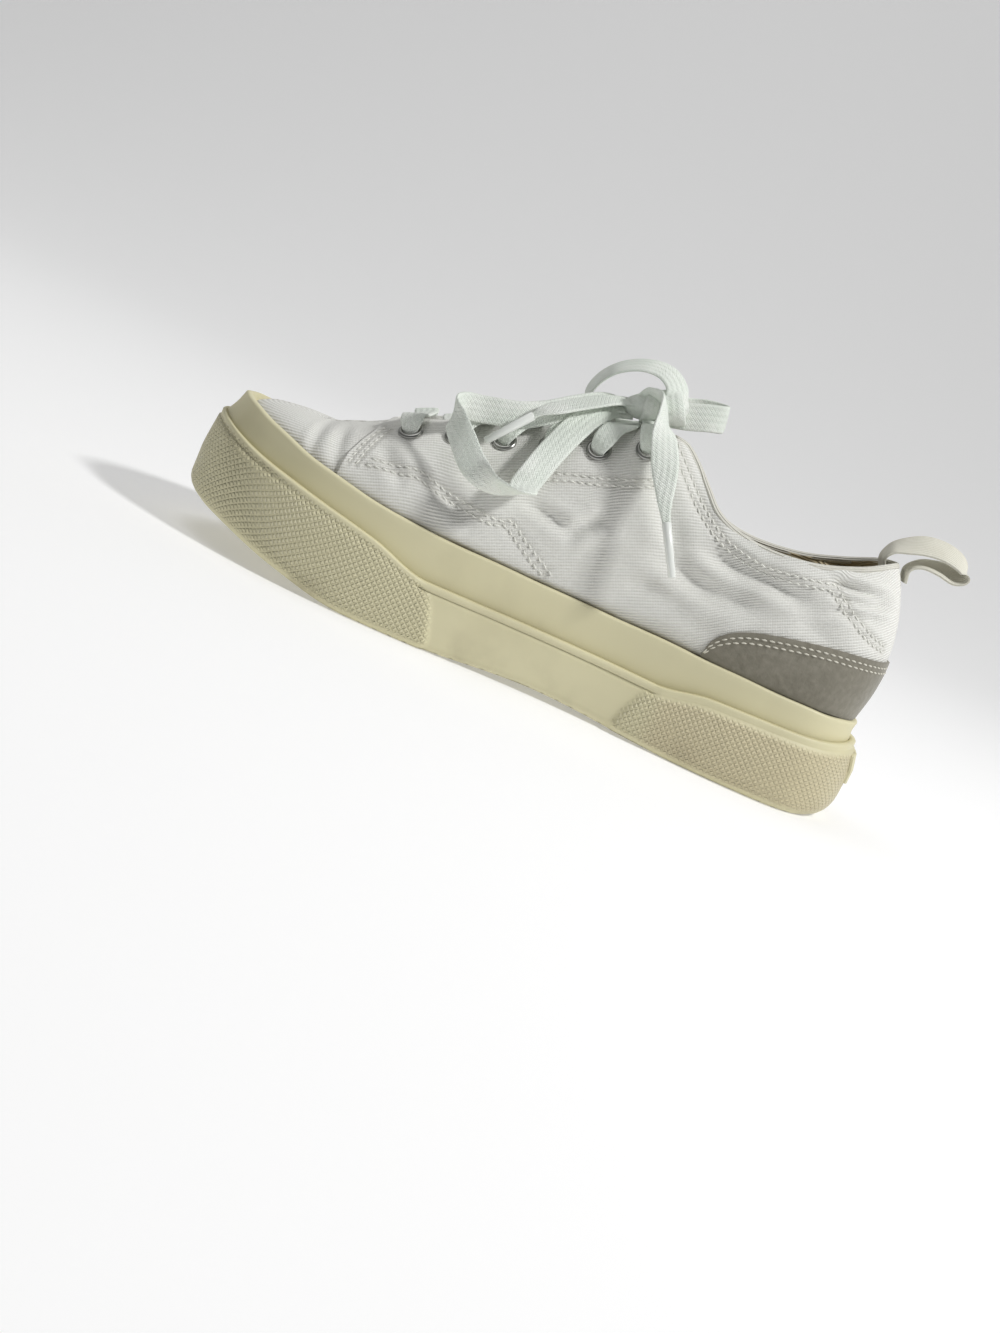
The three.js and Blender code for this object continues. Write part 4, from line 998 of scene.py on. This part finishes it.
# %% [markdown]
# The binding follows the collar's edge from one corner of the throat to the other.
# %% Binding
collar_u = np.linspace(u_at(place(0.418), 1), u_at(place(0.418), -1) - 1, 260)
edge_angle = cut_at(collar_u)
rim_points = last_by_angle(collar_u, edge_angle, -0.1)
down = unit(last_by_angle(collar_u, edge_angle - 0.06, -0.1) - rim_points)
outward = np.cross(np.gradient(rim_points, axis=0), down)
binding = strip("collar_binding", rim_points + down * 0.6, outward, 2.9, 3.1, 12, 2.4)
finished(binding, BINDING, "canvas")

# %% [markdown]
# Stitches. Each row is a line in the side view, in millimetres, laid on the surface as short
# raised threads.
# %% Stitches
STITCH_LENGTH = 2.3
STITCH_PITCH = 3.1
SIDE_ENDS = (-130.3, 126)  # where the side view stops, at the heel and at the toe


def surface_at(u, z, grow, amount):
    """Points of the creased surface and their outward directions."""
    at = last_by_height(u, z, grow)
    lower = last_by_height(u, z - 0.6, grow)
    beside = last_by_height(u + 0.002, z, grow)
    normal = unit(np.cross(beside - at, lower - at))
    normal *= np.sign(np.sum(normal * (at - MIDDLE), 1))[:, None]
    return at + normal * (creased(at) * amount)[:, None], normal


def side_line(points, side, grow):
    """A line given in the side view, as points of the surface with their outward directions."""
    line = spline(np.array(points, float), 40 * len(points))
    u = u_at(line[:, 0], side)
    for _ in range(4):
        found = last_by_height(u, line[:, 1], grow)
        u = u_at(np.clip(plan(u, UPPER_INSET)[0] + line[:, 0] - found[:, 0], *SIDE_ENDS), side)
    return surface_at(u, line[:, 1], grow, 1.0)


def stitch_row(at, normal, pitch=STITCH_PITCH, length=STITCH_LENGTH, slant=0.3):
    """The places of one row of stitches, each turned a little across its line."""
    gone = np.r_[0, np.cumsum(np.linalg.norm(np.diff(at, axis=0), axis=1))]
    centres = np.arange(pitch / 2, gone[-1], pitch)
    shapes = []
    for centre in centres:
        ends = [centre - length / 2, centre, centre + length / 2]
        p = np.array([[np.interp(e, gone, at[:, k]) for k in range(3)] for e in ends])
        n = unit(np.array([np.interp(centre, gone, normal[:, k]) for k in range(3)]))
        across = unit(np.cross(n, p[2] - p[0]))
        shapes.append((p + np.array([[slant], [0], [-slant]]) * across, n))
    return shapes


def stitches(name, rows, material, slot, width, height):
    """One mesh of all the stitches in these rows, each a small closed spindle."""
    verts, faces = [], []
    for p, n in rows:
        across = np.cross(n, unit(p[2] - p[0]))
        sag = p[1] - (p[0] + p[2]) / 2
        base = len(verts)
        for share, size in ((0.12, 0.6), (0.5, 1.0), (0.88, 0.6)):
            centre = p[0] * (1 - share) + p[2] * share + sag * (1 - abs(2 * share - 1))
            for k in range(6):
                a = k / 6 * 2 * pi
                offset = across * cos(a) * width / 2 * size + n * (sin(a) * height / 2 * size + 0.12)
                verts.append(centre + offset)
        verts.append(p[0] - n * 0.1)
        verts.append(p[2] - n * 0.1)
        for first in (base, base + 6):
            for k in range(6):
                m = (k + 1) % 6
                faces.append((first + k, first + m, first + 6 + m, first + 6 + k))
        for k in range(6):
            m = (k + 1) % 6
            faces.append((base + m, base + k, base + 18))
            faces.append((base + 12 + k, base + 12 + m, base + 19))
    mesh = bpy.data.meshes.new(name)
    mesh.from_pydata(to_frame(np.array(verts)).tolist(), [], faces)
    obj = bpy.data.objects.new(name, mesh)
    bpy.context.collection.objects.link(obj)
    on_mesh(obj, turn_out)
    bpy.ops.object.shade_smooth()
    finished(obj, material, slot)


rows = []
for side in (1, -1):
    for seam in SEAMS:
        at, normal = side_line(seam, side, QUARTER_STEP + 0.3)
        rows += stitch_row(at, normal)
stitches("quarter_stitches", rows, THREAD, "canvas", 0.7, 0.6)

rows = []
half_way = COUNTER_COLUMNS // 2
for drop in (2.2, 4.3):
    for half in (slice(6, half_way), slice(half_way, COUNTER_COLUMNS - 6)):
        u = counter_u[half, 0]
        z = counter_z[half, -1] - drop
        keep = z > sole["band"](edge_x(u)) + 1.5
        u, z = u[keep], z[keep]
        at, normal = surface_at(u, z, COUNTER_GROW, 0.5)
        rows += stitch_row(at, normal, 2.9, 2.2, 0.15)
stitches("counter_stitches", rows, SUEDE_THREAD, "suede", 0.7, 0.55)

# %% [markdown]
# Eyelets: nickel rings with their barrels through the wall.
# %% Eyelets
EYELET_X = place(np.linspace(FIRST_EYELET, LAST_EYELET, EYELET_PAIRS))


def turned(profile, count, foot, up):
    """A profile of radii and heights spun about the line from foot in the direction up."""
    turns = np.arange(count) / count * 2 * pi
    table = np.array([[(r * cos(a), r * sin(a), h) for r, h in profile] for a in turns])
    spin = np.array(Vector(up.tolist()).to_track_quat("Z", "Y").to_matrix())
    return table @ spin.T + foot


# Radius and height over the canvas.
EYELET_PROFILE = [
    (EYELET_BORE, -1.7), (EYELET_BORE + 0.45, -1.7), (3.25, 0.3), (EYELET_RADIUS - 0.15, 0.3),
    (EYELET_RADIUS, 0.55), (EYELET_RADIUS - 0.15, 0.95), (EYELET_RADIUS - 0.6, 1.3),
    (EYELET_RADIUS - 1.15, 1.4), (EYELET_BORE + 0.5, 1.15), (EYELET_BORE + 0.1, 0.6),
]
for row, x in enumerate(EYELET_X):
    for side, word in ((1, "inner"), (-1, "outer")):
        y = side * EYELET_SIDE
        foot = np.array([x, y, float(last_top(x, y, QUARTER_STEP))])
        up = last_normal(np.float64(x), np.float64(y), QUARTER_STEP)
        table = turned(EYELET_PROFILE, 40, foot, up)
        obj = skin(f"ring_{word}_{row + 1}", table, close_rows=True, close_columns=True)
        finished(obj, NICKEL, "eyelets", f"eyelet_{word}_{row + 1}")

# %% [markdown]
# Lace over the tongue: it comes up through each eyelet, spreads to its full width over the edge
# and crosses to the next row. The bar holds the lowest pair.
# %% Lace rows
def lace_row(x, y, lift):
    on_canvas = abs(y) > THROAT_HALF
    at = y if on_canvas else THROAT_HALF * (1 if y >= 0 else -1)
    n = last_normal(np.float64(x), np.float64(y if on_canvas else 0.01), QUARTER_STEP)
    point = np.array([x, y, float(last_top(x, at, QUARTER_STEP))])
    return point + n * lift, n


LACE_SAMPLES = 60


def lace_run(name, stops, widths):
    """A run of lace through (x, y, lift) stops over the surface."""
    found = [lace_row(*stop) for stop in stops]
    path = spline([p for p, n in found], LACE_SAMPLES)
    faces = spline([n for p, n in found], LACE_SAMPLES)
    share = np.linspace(0, 1, len(widths))
    wide = np.interp(np.linspace(0, 1, LACE_SAMPLES), share, widths) * LACE_WIDTH
    return strip(name, path, faces, wide, LACE_THICKNESS)


first = EYELET_X[0]
# From an eyelet's hole to the throat's edge: inwards from the hole's middle, lift and share of width.
FAN = [(-0.9, -1.7, 0.5), (-0.2, 1.8, 0.68), (1.4, 4.0, 0.92), (4.6, 4.6, 1.0), (8.2, 2.2, 1.0)]
half_bar = [(first, EYELET_SIDE - inwards, lift) for inwards, lift, share in FAN]
other_half = [(x, -y, lift) for x, y, lift in half_bar[::-1]]
bar_stops = half_bar + [(first, 4, 1.3), (first, -4, 1.3)] + other_half
fan_widths = [share for inwards, lift, share in FAN]
bar = lace_run("bar", bar_stops, fan_widths + [1, 1] + fan_widths[::-1])
finished(bar, LACE_PAINT, "lace", "lace_bar")

for row in range(EYELET_PAIRS - 1):
    span = EYELET_X[row + 1] - EYELET_X[row]
    halves = []
    for side, over in ((1, 0.0), (-1, 1.25)):
        def stop(y, lift, extra=0.0):
            share = (EYELET_SIDE - y) / (2 * EYELET_SIDE)
            x = EYELET_X[row] + span * (0.06 + 0.9 * share + extra)
            return (x, y * side, lift)
        if row == 0:
            stops = [
                stop(9, -0.8, 0.3), stop(6, -0.6, 0.28), stop(2.5, over - 0.5, 0.2),
                stop(-2.5, over - 0.5, 0.1), stop(-6.5, -0.8, 0.04), stop(-10, -2),
            ]
            widths = [0.7, 0.85, 0.9, 0.9, 0.8, 0.6]
        else:
            stops = [
                (EYELET_X[row] + 0.045 * inwards * span, side * (EYELET_SIDE - inwards), lift)
                for inwards, lift, share in FAN
            ]
            stops += [
                stop(5, 0.2 + over * 0.8), stop(0, over - 0.3), stop(-5, over * 0.3 - 0.4),
                stop(-9, -1.2), stop(-12.5, -2.8),
            ]
            widths = fan_widths + [1, 1, 0.95, 0.8, 0.6]
        halves.append(lace_run(f"half_{row}_{side}", stops, widths))
    finished(joined(halves, f"crossing_{row + 1}"), LACE_PAINT, "lace", f"lace_crossing_{row + 1}")

# %% [markdown]
# The knot, the bow and the two ends, in the shoe's own millimetres, each row a point of the
# route and the direction its flat side looks in.
# %% Bow
KNOT = np.array([-12.04, 3.0, 114.6])
KNOT_SIZE = (12.3, 7.2, 5.2)
KNOT_TILT = radians(22)
BOW_REACH = 70.0
ROUTES = {
    "loop_near": [
        (0.119, 0, -0.077, 0.1, 0.5, 0.8), (0.194, 0.036, -0.092, 0.2, 0.7, 0.6),
        (0.263, 0.114, -0.142, 0.15, 0.85, 0.4), (0.34, 0.221, -0.269, 0.1, 0.95, 0.3),
        (0.397, 0.343, -0.42, 0, 1, 0.2), (0.433, 0.436, -0.551, -0.1, 1, 0.15),
        (0.453, 0.5, -0.634, 0, 0.8, 0.6),
        (0.446, 0.571, -0.661, 0.3, -0.1, 0.95), (0.517, 0.579, -0.677, 0.25, -0.45, 0.85),
        (0.624, 0.55, -0.682, 0.1, -0.85, 0.5), (0.738, 0.507, -0.642, -0.1, -1, 0),
        (0.839, 0.457, -0.556, -0.2, -0.95, 0), (0.919, 0.4, -0.483, -0.5, -0.85, 0.1),
        (0.948, 0.343, -0.436, -0.95, -0.1, 0.3), (0.912, 0.279, -0.404, -0.6, 0.75, 0.3),
        (0.831, 0.25, -0.385, -0.1, 0.95, 0.3), (0.739, 0.243, -0.36, 0, 0.95, 0.3),
        (0.629, 0.229, -0.324, 0, 0.9, 0.4), (0.51, 0.186, -0.259, 0.1, 0.85, 0.5),
        (0.382, 0.1, -0.165, 0.1, 0.75, 0.6), (0.257, 0.014, -0.087, 0.1, 0.6, 0.7),
        (0.148, 0, -0.066, 0.1, 0.4, 0.9),
    ],
    "loop_top": [
        (0.035, 0.029, 0.021, -0.45, 0.8, 0.35), (-0.068, 0.054, 0.051, -0.45, 0.8, 0.38),
        (-0.065, 0.043, 0.125, -0.4, 0.75, 0.5), (0.019, 0, 0.185, -0.1, 0.6, 0.75),
        (0.14, -0.029, 0.178, 0.33, 0.44, 0.83), (0.267, -0.057, 0.109, 0.5, 0.38, 0.75),
        (0.342, -0.086, 0.013, 0.86, 0.33, 0.39), (0.368, -0.114, -0.087, 0.88, 0.3, 0.2),
        (0.345, -0.136, -0.137, 0.8, 0.1, -0.3), (0.284, -0.171, -0.14, 0.2, -0.1, -0.9),
        (0.209, -0.193, -0.094, -0.3, -0.1, -0.9), (0.137, -0.171, -0.042, -0.3, -0.1, -0.9),
    ],
    "loop_back": [
        (-0.085, -0.021, -0.001, -0.2, 0.95, 0.2), (-0.185, -0.014, 0.027, -0.1, 0.95, 0.2),
        (-0.278, -0.014, 0.063, -0.1, 0.95, 0.2), (-0.347, -0.036, 0.084, -0.6, 0.8, 0.2),
        (-0.371, -0.071, 0.094, -1, 0, 0.2), (-0.347, -0.121, 0.094, -0.6, -0.8, 0.2),
        (-0.271, -0.143, 0.084, 0.1, -0.95, 0.2), (-0.185, -0.136, 0.056, 0.1, -0.95, 0.2),
        (-0.071, -0.071, 0.027, 0.1, -0.95, 0.2),
    ],
    "end_front": [
        (0.13, 0.014, -0.029, 0.3, 0.3, 0.9), (0.226, 0.079, -0.06, 0.33, 0.33, 0.87),
        (0.313, 0.143, -0.11, 0.35, 0.38, 0.85), (0.401, 0.2, -0.166, 0.35, 0.38, 0.85),
        (0.474, 0.257, -0.215, 0.35, 0.4, 0.83), (0.533, 0.29, -0.258, 0.35, 0.45, 0.8),
        (0.569, 0.303, -0.302, 0.35, 0.5, 0.75),
    ],
    "end_hanging": [
        (0.047, 0.014, 0.021, -0.1, 0.3, 0.9), (0.011, 0.114, 0.054, -0.5, 0.4, 0.7),
        (-0.031, 0.186, 0.038, -0.85, 0.45, 0.2), (-0.06, 0.271, -0.037, -0.8, 0.6, 0.1),
        (-0.104, 0.336, -0.127, -0.35, 0.92, 0.15), (-0.154, 0.386, -0.226, -0.1, 0.98, 0.15),
        (-0.201, 0.429, -0.325, 0, 0.98, 0.15), (-0.248, 0.46, -0.425, 0, 0.98, 0.15),
        (-0.292, 0.476, -0.499, 0, 0.98, 0.15),
    ],
}
SAMPLE_COUNTS = {"loop_near": 150, "loop_top": 110, "loop_back": 80, "end_front": 50, "end_hanging": 70}


def route_of(name):
    rows = np.array(ROUTES[name], float)
    count = SAMPLE_COUNTS[name]
    return spline(rows[:, :3] * BOW_REACH + KNOT, count), spline(rows[:, 3:], count)


def aglet(name, node, path):
    profile = [(0.01, -0.2), (1.5, -0.2), (1.75, 0.2), (1.6, 10), (1.35, 19.6), (1.0, 20), (0.01, 20)]
    obj = skin(name, turned(profile, 20, path[-1], unit(path[-1] - path[-3])), close_rows=True)
    return finished(obj, CLEAR_TIP, "lace_tips", node)


bow = {}
for name in ROUTES:
    path, faces = route_of(name)
    share = np.linspace(0, 1, len(path))
    ends = name.startswith("end")
    wide = LOOSE_WIDTH * (1 - 0.68 * smooth(share, 0.6, 1) * ends)
    obj = strip(f"lace_{name}", path, faces, wide, LACE_THICKNESS)
    bow[name] = (finished(obj, LACE_PAINT, "lace", name), path)

aglet("tip_front", "aglet_front", bow["end_front"][1])
tip_hanging = aglet("tip_hanging", "aglet_hanging", bow["end_hanging"][1])

KNOT_TURN = np.array(Matrix.Rotation(KNOT_TILT, 3, "Y"))


def knot_points():
    """The knot's body: a squarish lump with folds running along it."""
    a = np.linspace(0, 2 * pi, 72, endpoint=False)[:, None]
    b = np.linspace(0.02, pi - 0.02, 40)[None, :]
    around_axis = np.sin(b) ** 0.75
    fold = 1 + 0.07 * np.cos(5 * a) + 0.03 * np.sin(3 * a + 4 * b)
    x = KNOT_SIZE[0] * np.cos(b) + 0 * a
    y = KNOT_SIZE[1] * around_axis * np.cos(a) * fold
    z = KNOT_SIZE[2] * around_axis * np.sin(a) * fold
    return np.stack([x, y, z], -1) @ KNOT_TURN.T + KNOT


def knot_wrap(name, along, lean, width, reach=(8.2, 6.1)):
    """A turn of lace round the knot."""
    a = np.linspace(0, 2 * pi, 64, endpoint=False)
    ring_points = np.stack([along + lean * np.sin(a), reach[0] * np.cos(a), reach[1] * np.sin(a)], -1)
    out = unit(np.stack([0 * a, np.cos(a) / reach[0], np.sin(a) / reach[1]], -1))
    k = np.arange(12) / 12 * 2 * pi
    side = np.sign(np.cos(k)) * np.abs(np.cos(k)) ** 0.7 * width / 2
    lift = np.sign(np.sin(k)) * np.abs(np.sin(k)) ** 0.7 * LACE_THICKNESS / 2
    section = out[:, None] * lift[None, :, None] + np.array([1, 0, 0]) * side[None, :, None]
    table = ring_points[:, None] + section
    return skin(name, table @ KNOT_TURN.T + KNOT, close_rows=True, close_columns=True)


knot_body = skin("knot_body", knot_points(), close_rows=True, fill=True)
wraps = [knot_wrap("wrap_heel", -6.6, 1.2, 7.5), knot_wrap("wrap_middle", 1.8, -1.5, 6.0, (7.9, 5.8))]
finished(joined([knot_body] + wraps, "knot"), LACE_PAINT, "lace", "lace_knot")

for side, node in ((1, "lace_top_inner"), (-1, "lace_top_outer")):
    x = EYELET_X[-1]
    stops = [(x + 0.1 * inwards, side * (EYELET_SIDE - inwards), lift) for inwards, lift, share in FAN]
    stops += [(x + 1.5, side * 7, 3.2), (x + 2, side * 3, 5)]
    top = lace_run(f"run_{node}", stops, fan_widths + [1, 0.9])
    finished(top, LACE_PAINT, "lace", node)


CORDS = [
    ("loop_near", "knot", "loose", []),
    ("loop_top", "knot", "loose", []),
    ("end_hanging", "fitting", "hanging", [tip_hanging]),
]
for name, far, lay, tips in CORDS:
    obj, path = bow[name]

# %% [markdown]
# Pull loop of webbing behind the collar.
# %% Pull loop
PULL_REACH = 24.0
PULL_TILT = radians(28)
WEBBING_WIDTH = 14.0
WEBBING_THICKNESS = 1.5
# Rows counted from the collar's back corner, in shares of PULL_REACH: back and up.
PULL = np.array([
    [-0.235, -0.268], [-0.31, -0.143], [-0.348, -0.018], [-0.268, 0.148], [-0.068, 0.286],
    [0.223, 0.411], [0.557, 0.44], [0.819, 0.373], [0.923, 0.265], [0.798, 0.173], [0.515, 0.165],
    [0.244, 0.107], [0.086, -0.035], [0.111, -0.247],
])
PULL_CORNER = np.array([place(COLLAR[0, 0]), 0, COLLAR[0, 1] * UPPER_HEIGHT])
PULL_POINTS = np.c_[-PULL[:, 0], 0 * PULL[:, 0], PULL[:, 1]] * PULL_REACH + PULL_CORNER
pull_path = spline(PULL_POINTS, 120)
share = np.linspace(0, 1, 120)
tilt = PULL_TILT * smooth(share, 0.1, 0.4) * (1 - smooth(share, 0.65, 0.95))
across = np.stack([0 * tilt, np.cos(tilt), -np.sin(tilt)], -1)
pull_faces = np.cross(np.gradient(pull_path, axis=0), across)
pull = strip("pull_webbing", pull_path, pull_faces, WEBBING_WIDTH, WEBBING_THICKNESS)
finished(pull, WEBBING, "webbing", "pull_loop")

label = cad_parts["heel_label"]
label.data.materials.clear()
label.data.materials.append(SMOOTH_RUBBER)

# %% [markdown]
# Camera with the photograph's angle to the shoe, rolled so that the shoe leans as it does there.
# %% Camera
def aim(at, target, roll):
    forward = (Vector(target) - Vector(at)).normalized()
    right = forward.cross(Vector((0, 0, 1))).normalized()
    up = right.cross(forward)
    c, s = cos(radians(roll)), sin(radians(roll))
    right, up = right * c + up * s, up * c - right * s
    turn = Matrix((right, up, -forward)).transposed()
    return turn.to_4x4()


TARGET = to_frame([[0, 42.5, 7.2]])[0]
DISTANCE = 0.567
ELEVATION = radians(12)
ROLL = 25.0
PHOTO_HEIGHT = 1333  # pixels
FOCAL_LENGTH = 1550  # of the photograph, in its pixels
SENSOR = 36
eye = TARGET + DISTANCE * np.array([0, cos(ELEVATION), sin(ELEVATION)])
bpy.ops.object.camera_add(location=eye.tolist())
camera = bpy.context.object
camera.matrix_world = Matrix.Translation(eye.tolist()) @ aim(eye, TARGET, ROLL)
camera.data.sensor_fit = "VERTICAL"
camera.data.sensor_height = SENSOR
camera.data.lens = SENSOR * FOCAL_LENGTH / PHOTO_HEIGHT
camera.data.clip_start = 0.01
bpy.context.scene.camera = camera

# %% [markdown]
# Pale floor that rises behind the shoe, and soft light from above.
# %% Floor and light
FLOOR_FRONT = 1.9
FLOOR_RUN = 2.6
FLOOR_BEND = 1.2
bpy.ops.mesh.primitive_grid_add(x_subdivisions=2, y_subdivisions=120, size=2)
floor = bpy.context.object
floor.name = "floor"
for v in floor.data.vertices:
    run = (1 - v.co.y) * 3.0
    bend = max(0.0, run - FLOOR_RUN)
    angle = min(bend / FLOOR_BEND, pi / 2)
    v.co = Vector((v.co.x * 6, FLOOR_FRONT - min(run, FLOOR_RUN) - FLOOR_BEND * sin(angle), 0))
    v.co.z = FLOOR_BEND * (1 - cos(angle)) + max(0.0, bend - FLOOR_BEND * pi / 2)
pick(floor)
bpy.ops.object.shade_smooth()
backdrop = Paint("backdrop", 0.9)
backdrop.colour(rgb(222, 222, 222))
backdrop.shader.inputs["Emission Color"].default_value = (1, 1, 1, 1)
backdrop.shader.inputs["Emission Strength"].default_value = 0.28
floor.data.materials.append(backdrop.material)


def lamp(name, at, size, power):
    bpy.ops.object.light_add(type="AREA", location=at)
    light = bpy.context.object
    light.name = name
    light.data.size = size
    light.data.energy = power
    light.rotation_euler = (Vector((0, 0, 0.04)) - Vector(at)).to_track_quat("-Z", "Y").to_euler()


lamp("key", (-0.84, 0.4, 1.05), 0.16, 14)
lamp("top", (0.5, -0.1, 1.4), 0.9, 5.5)
world = bpy.data.worlds.new("world")
bpy.context.scene.world = world
world.use_nodes = True
background = world.node_tree.nodes["Background"].inputs
background["Color"].default_value = (0.9, 0.9, 0.9, 1)
background["Strength"].default_value = 0.12
bpy.context.scene.view_settings.view_transform = "Standard"
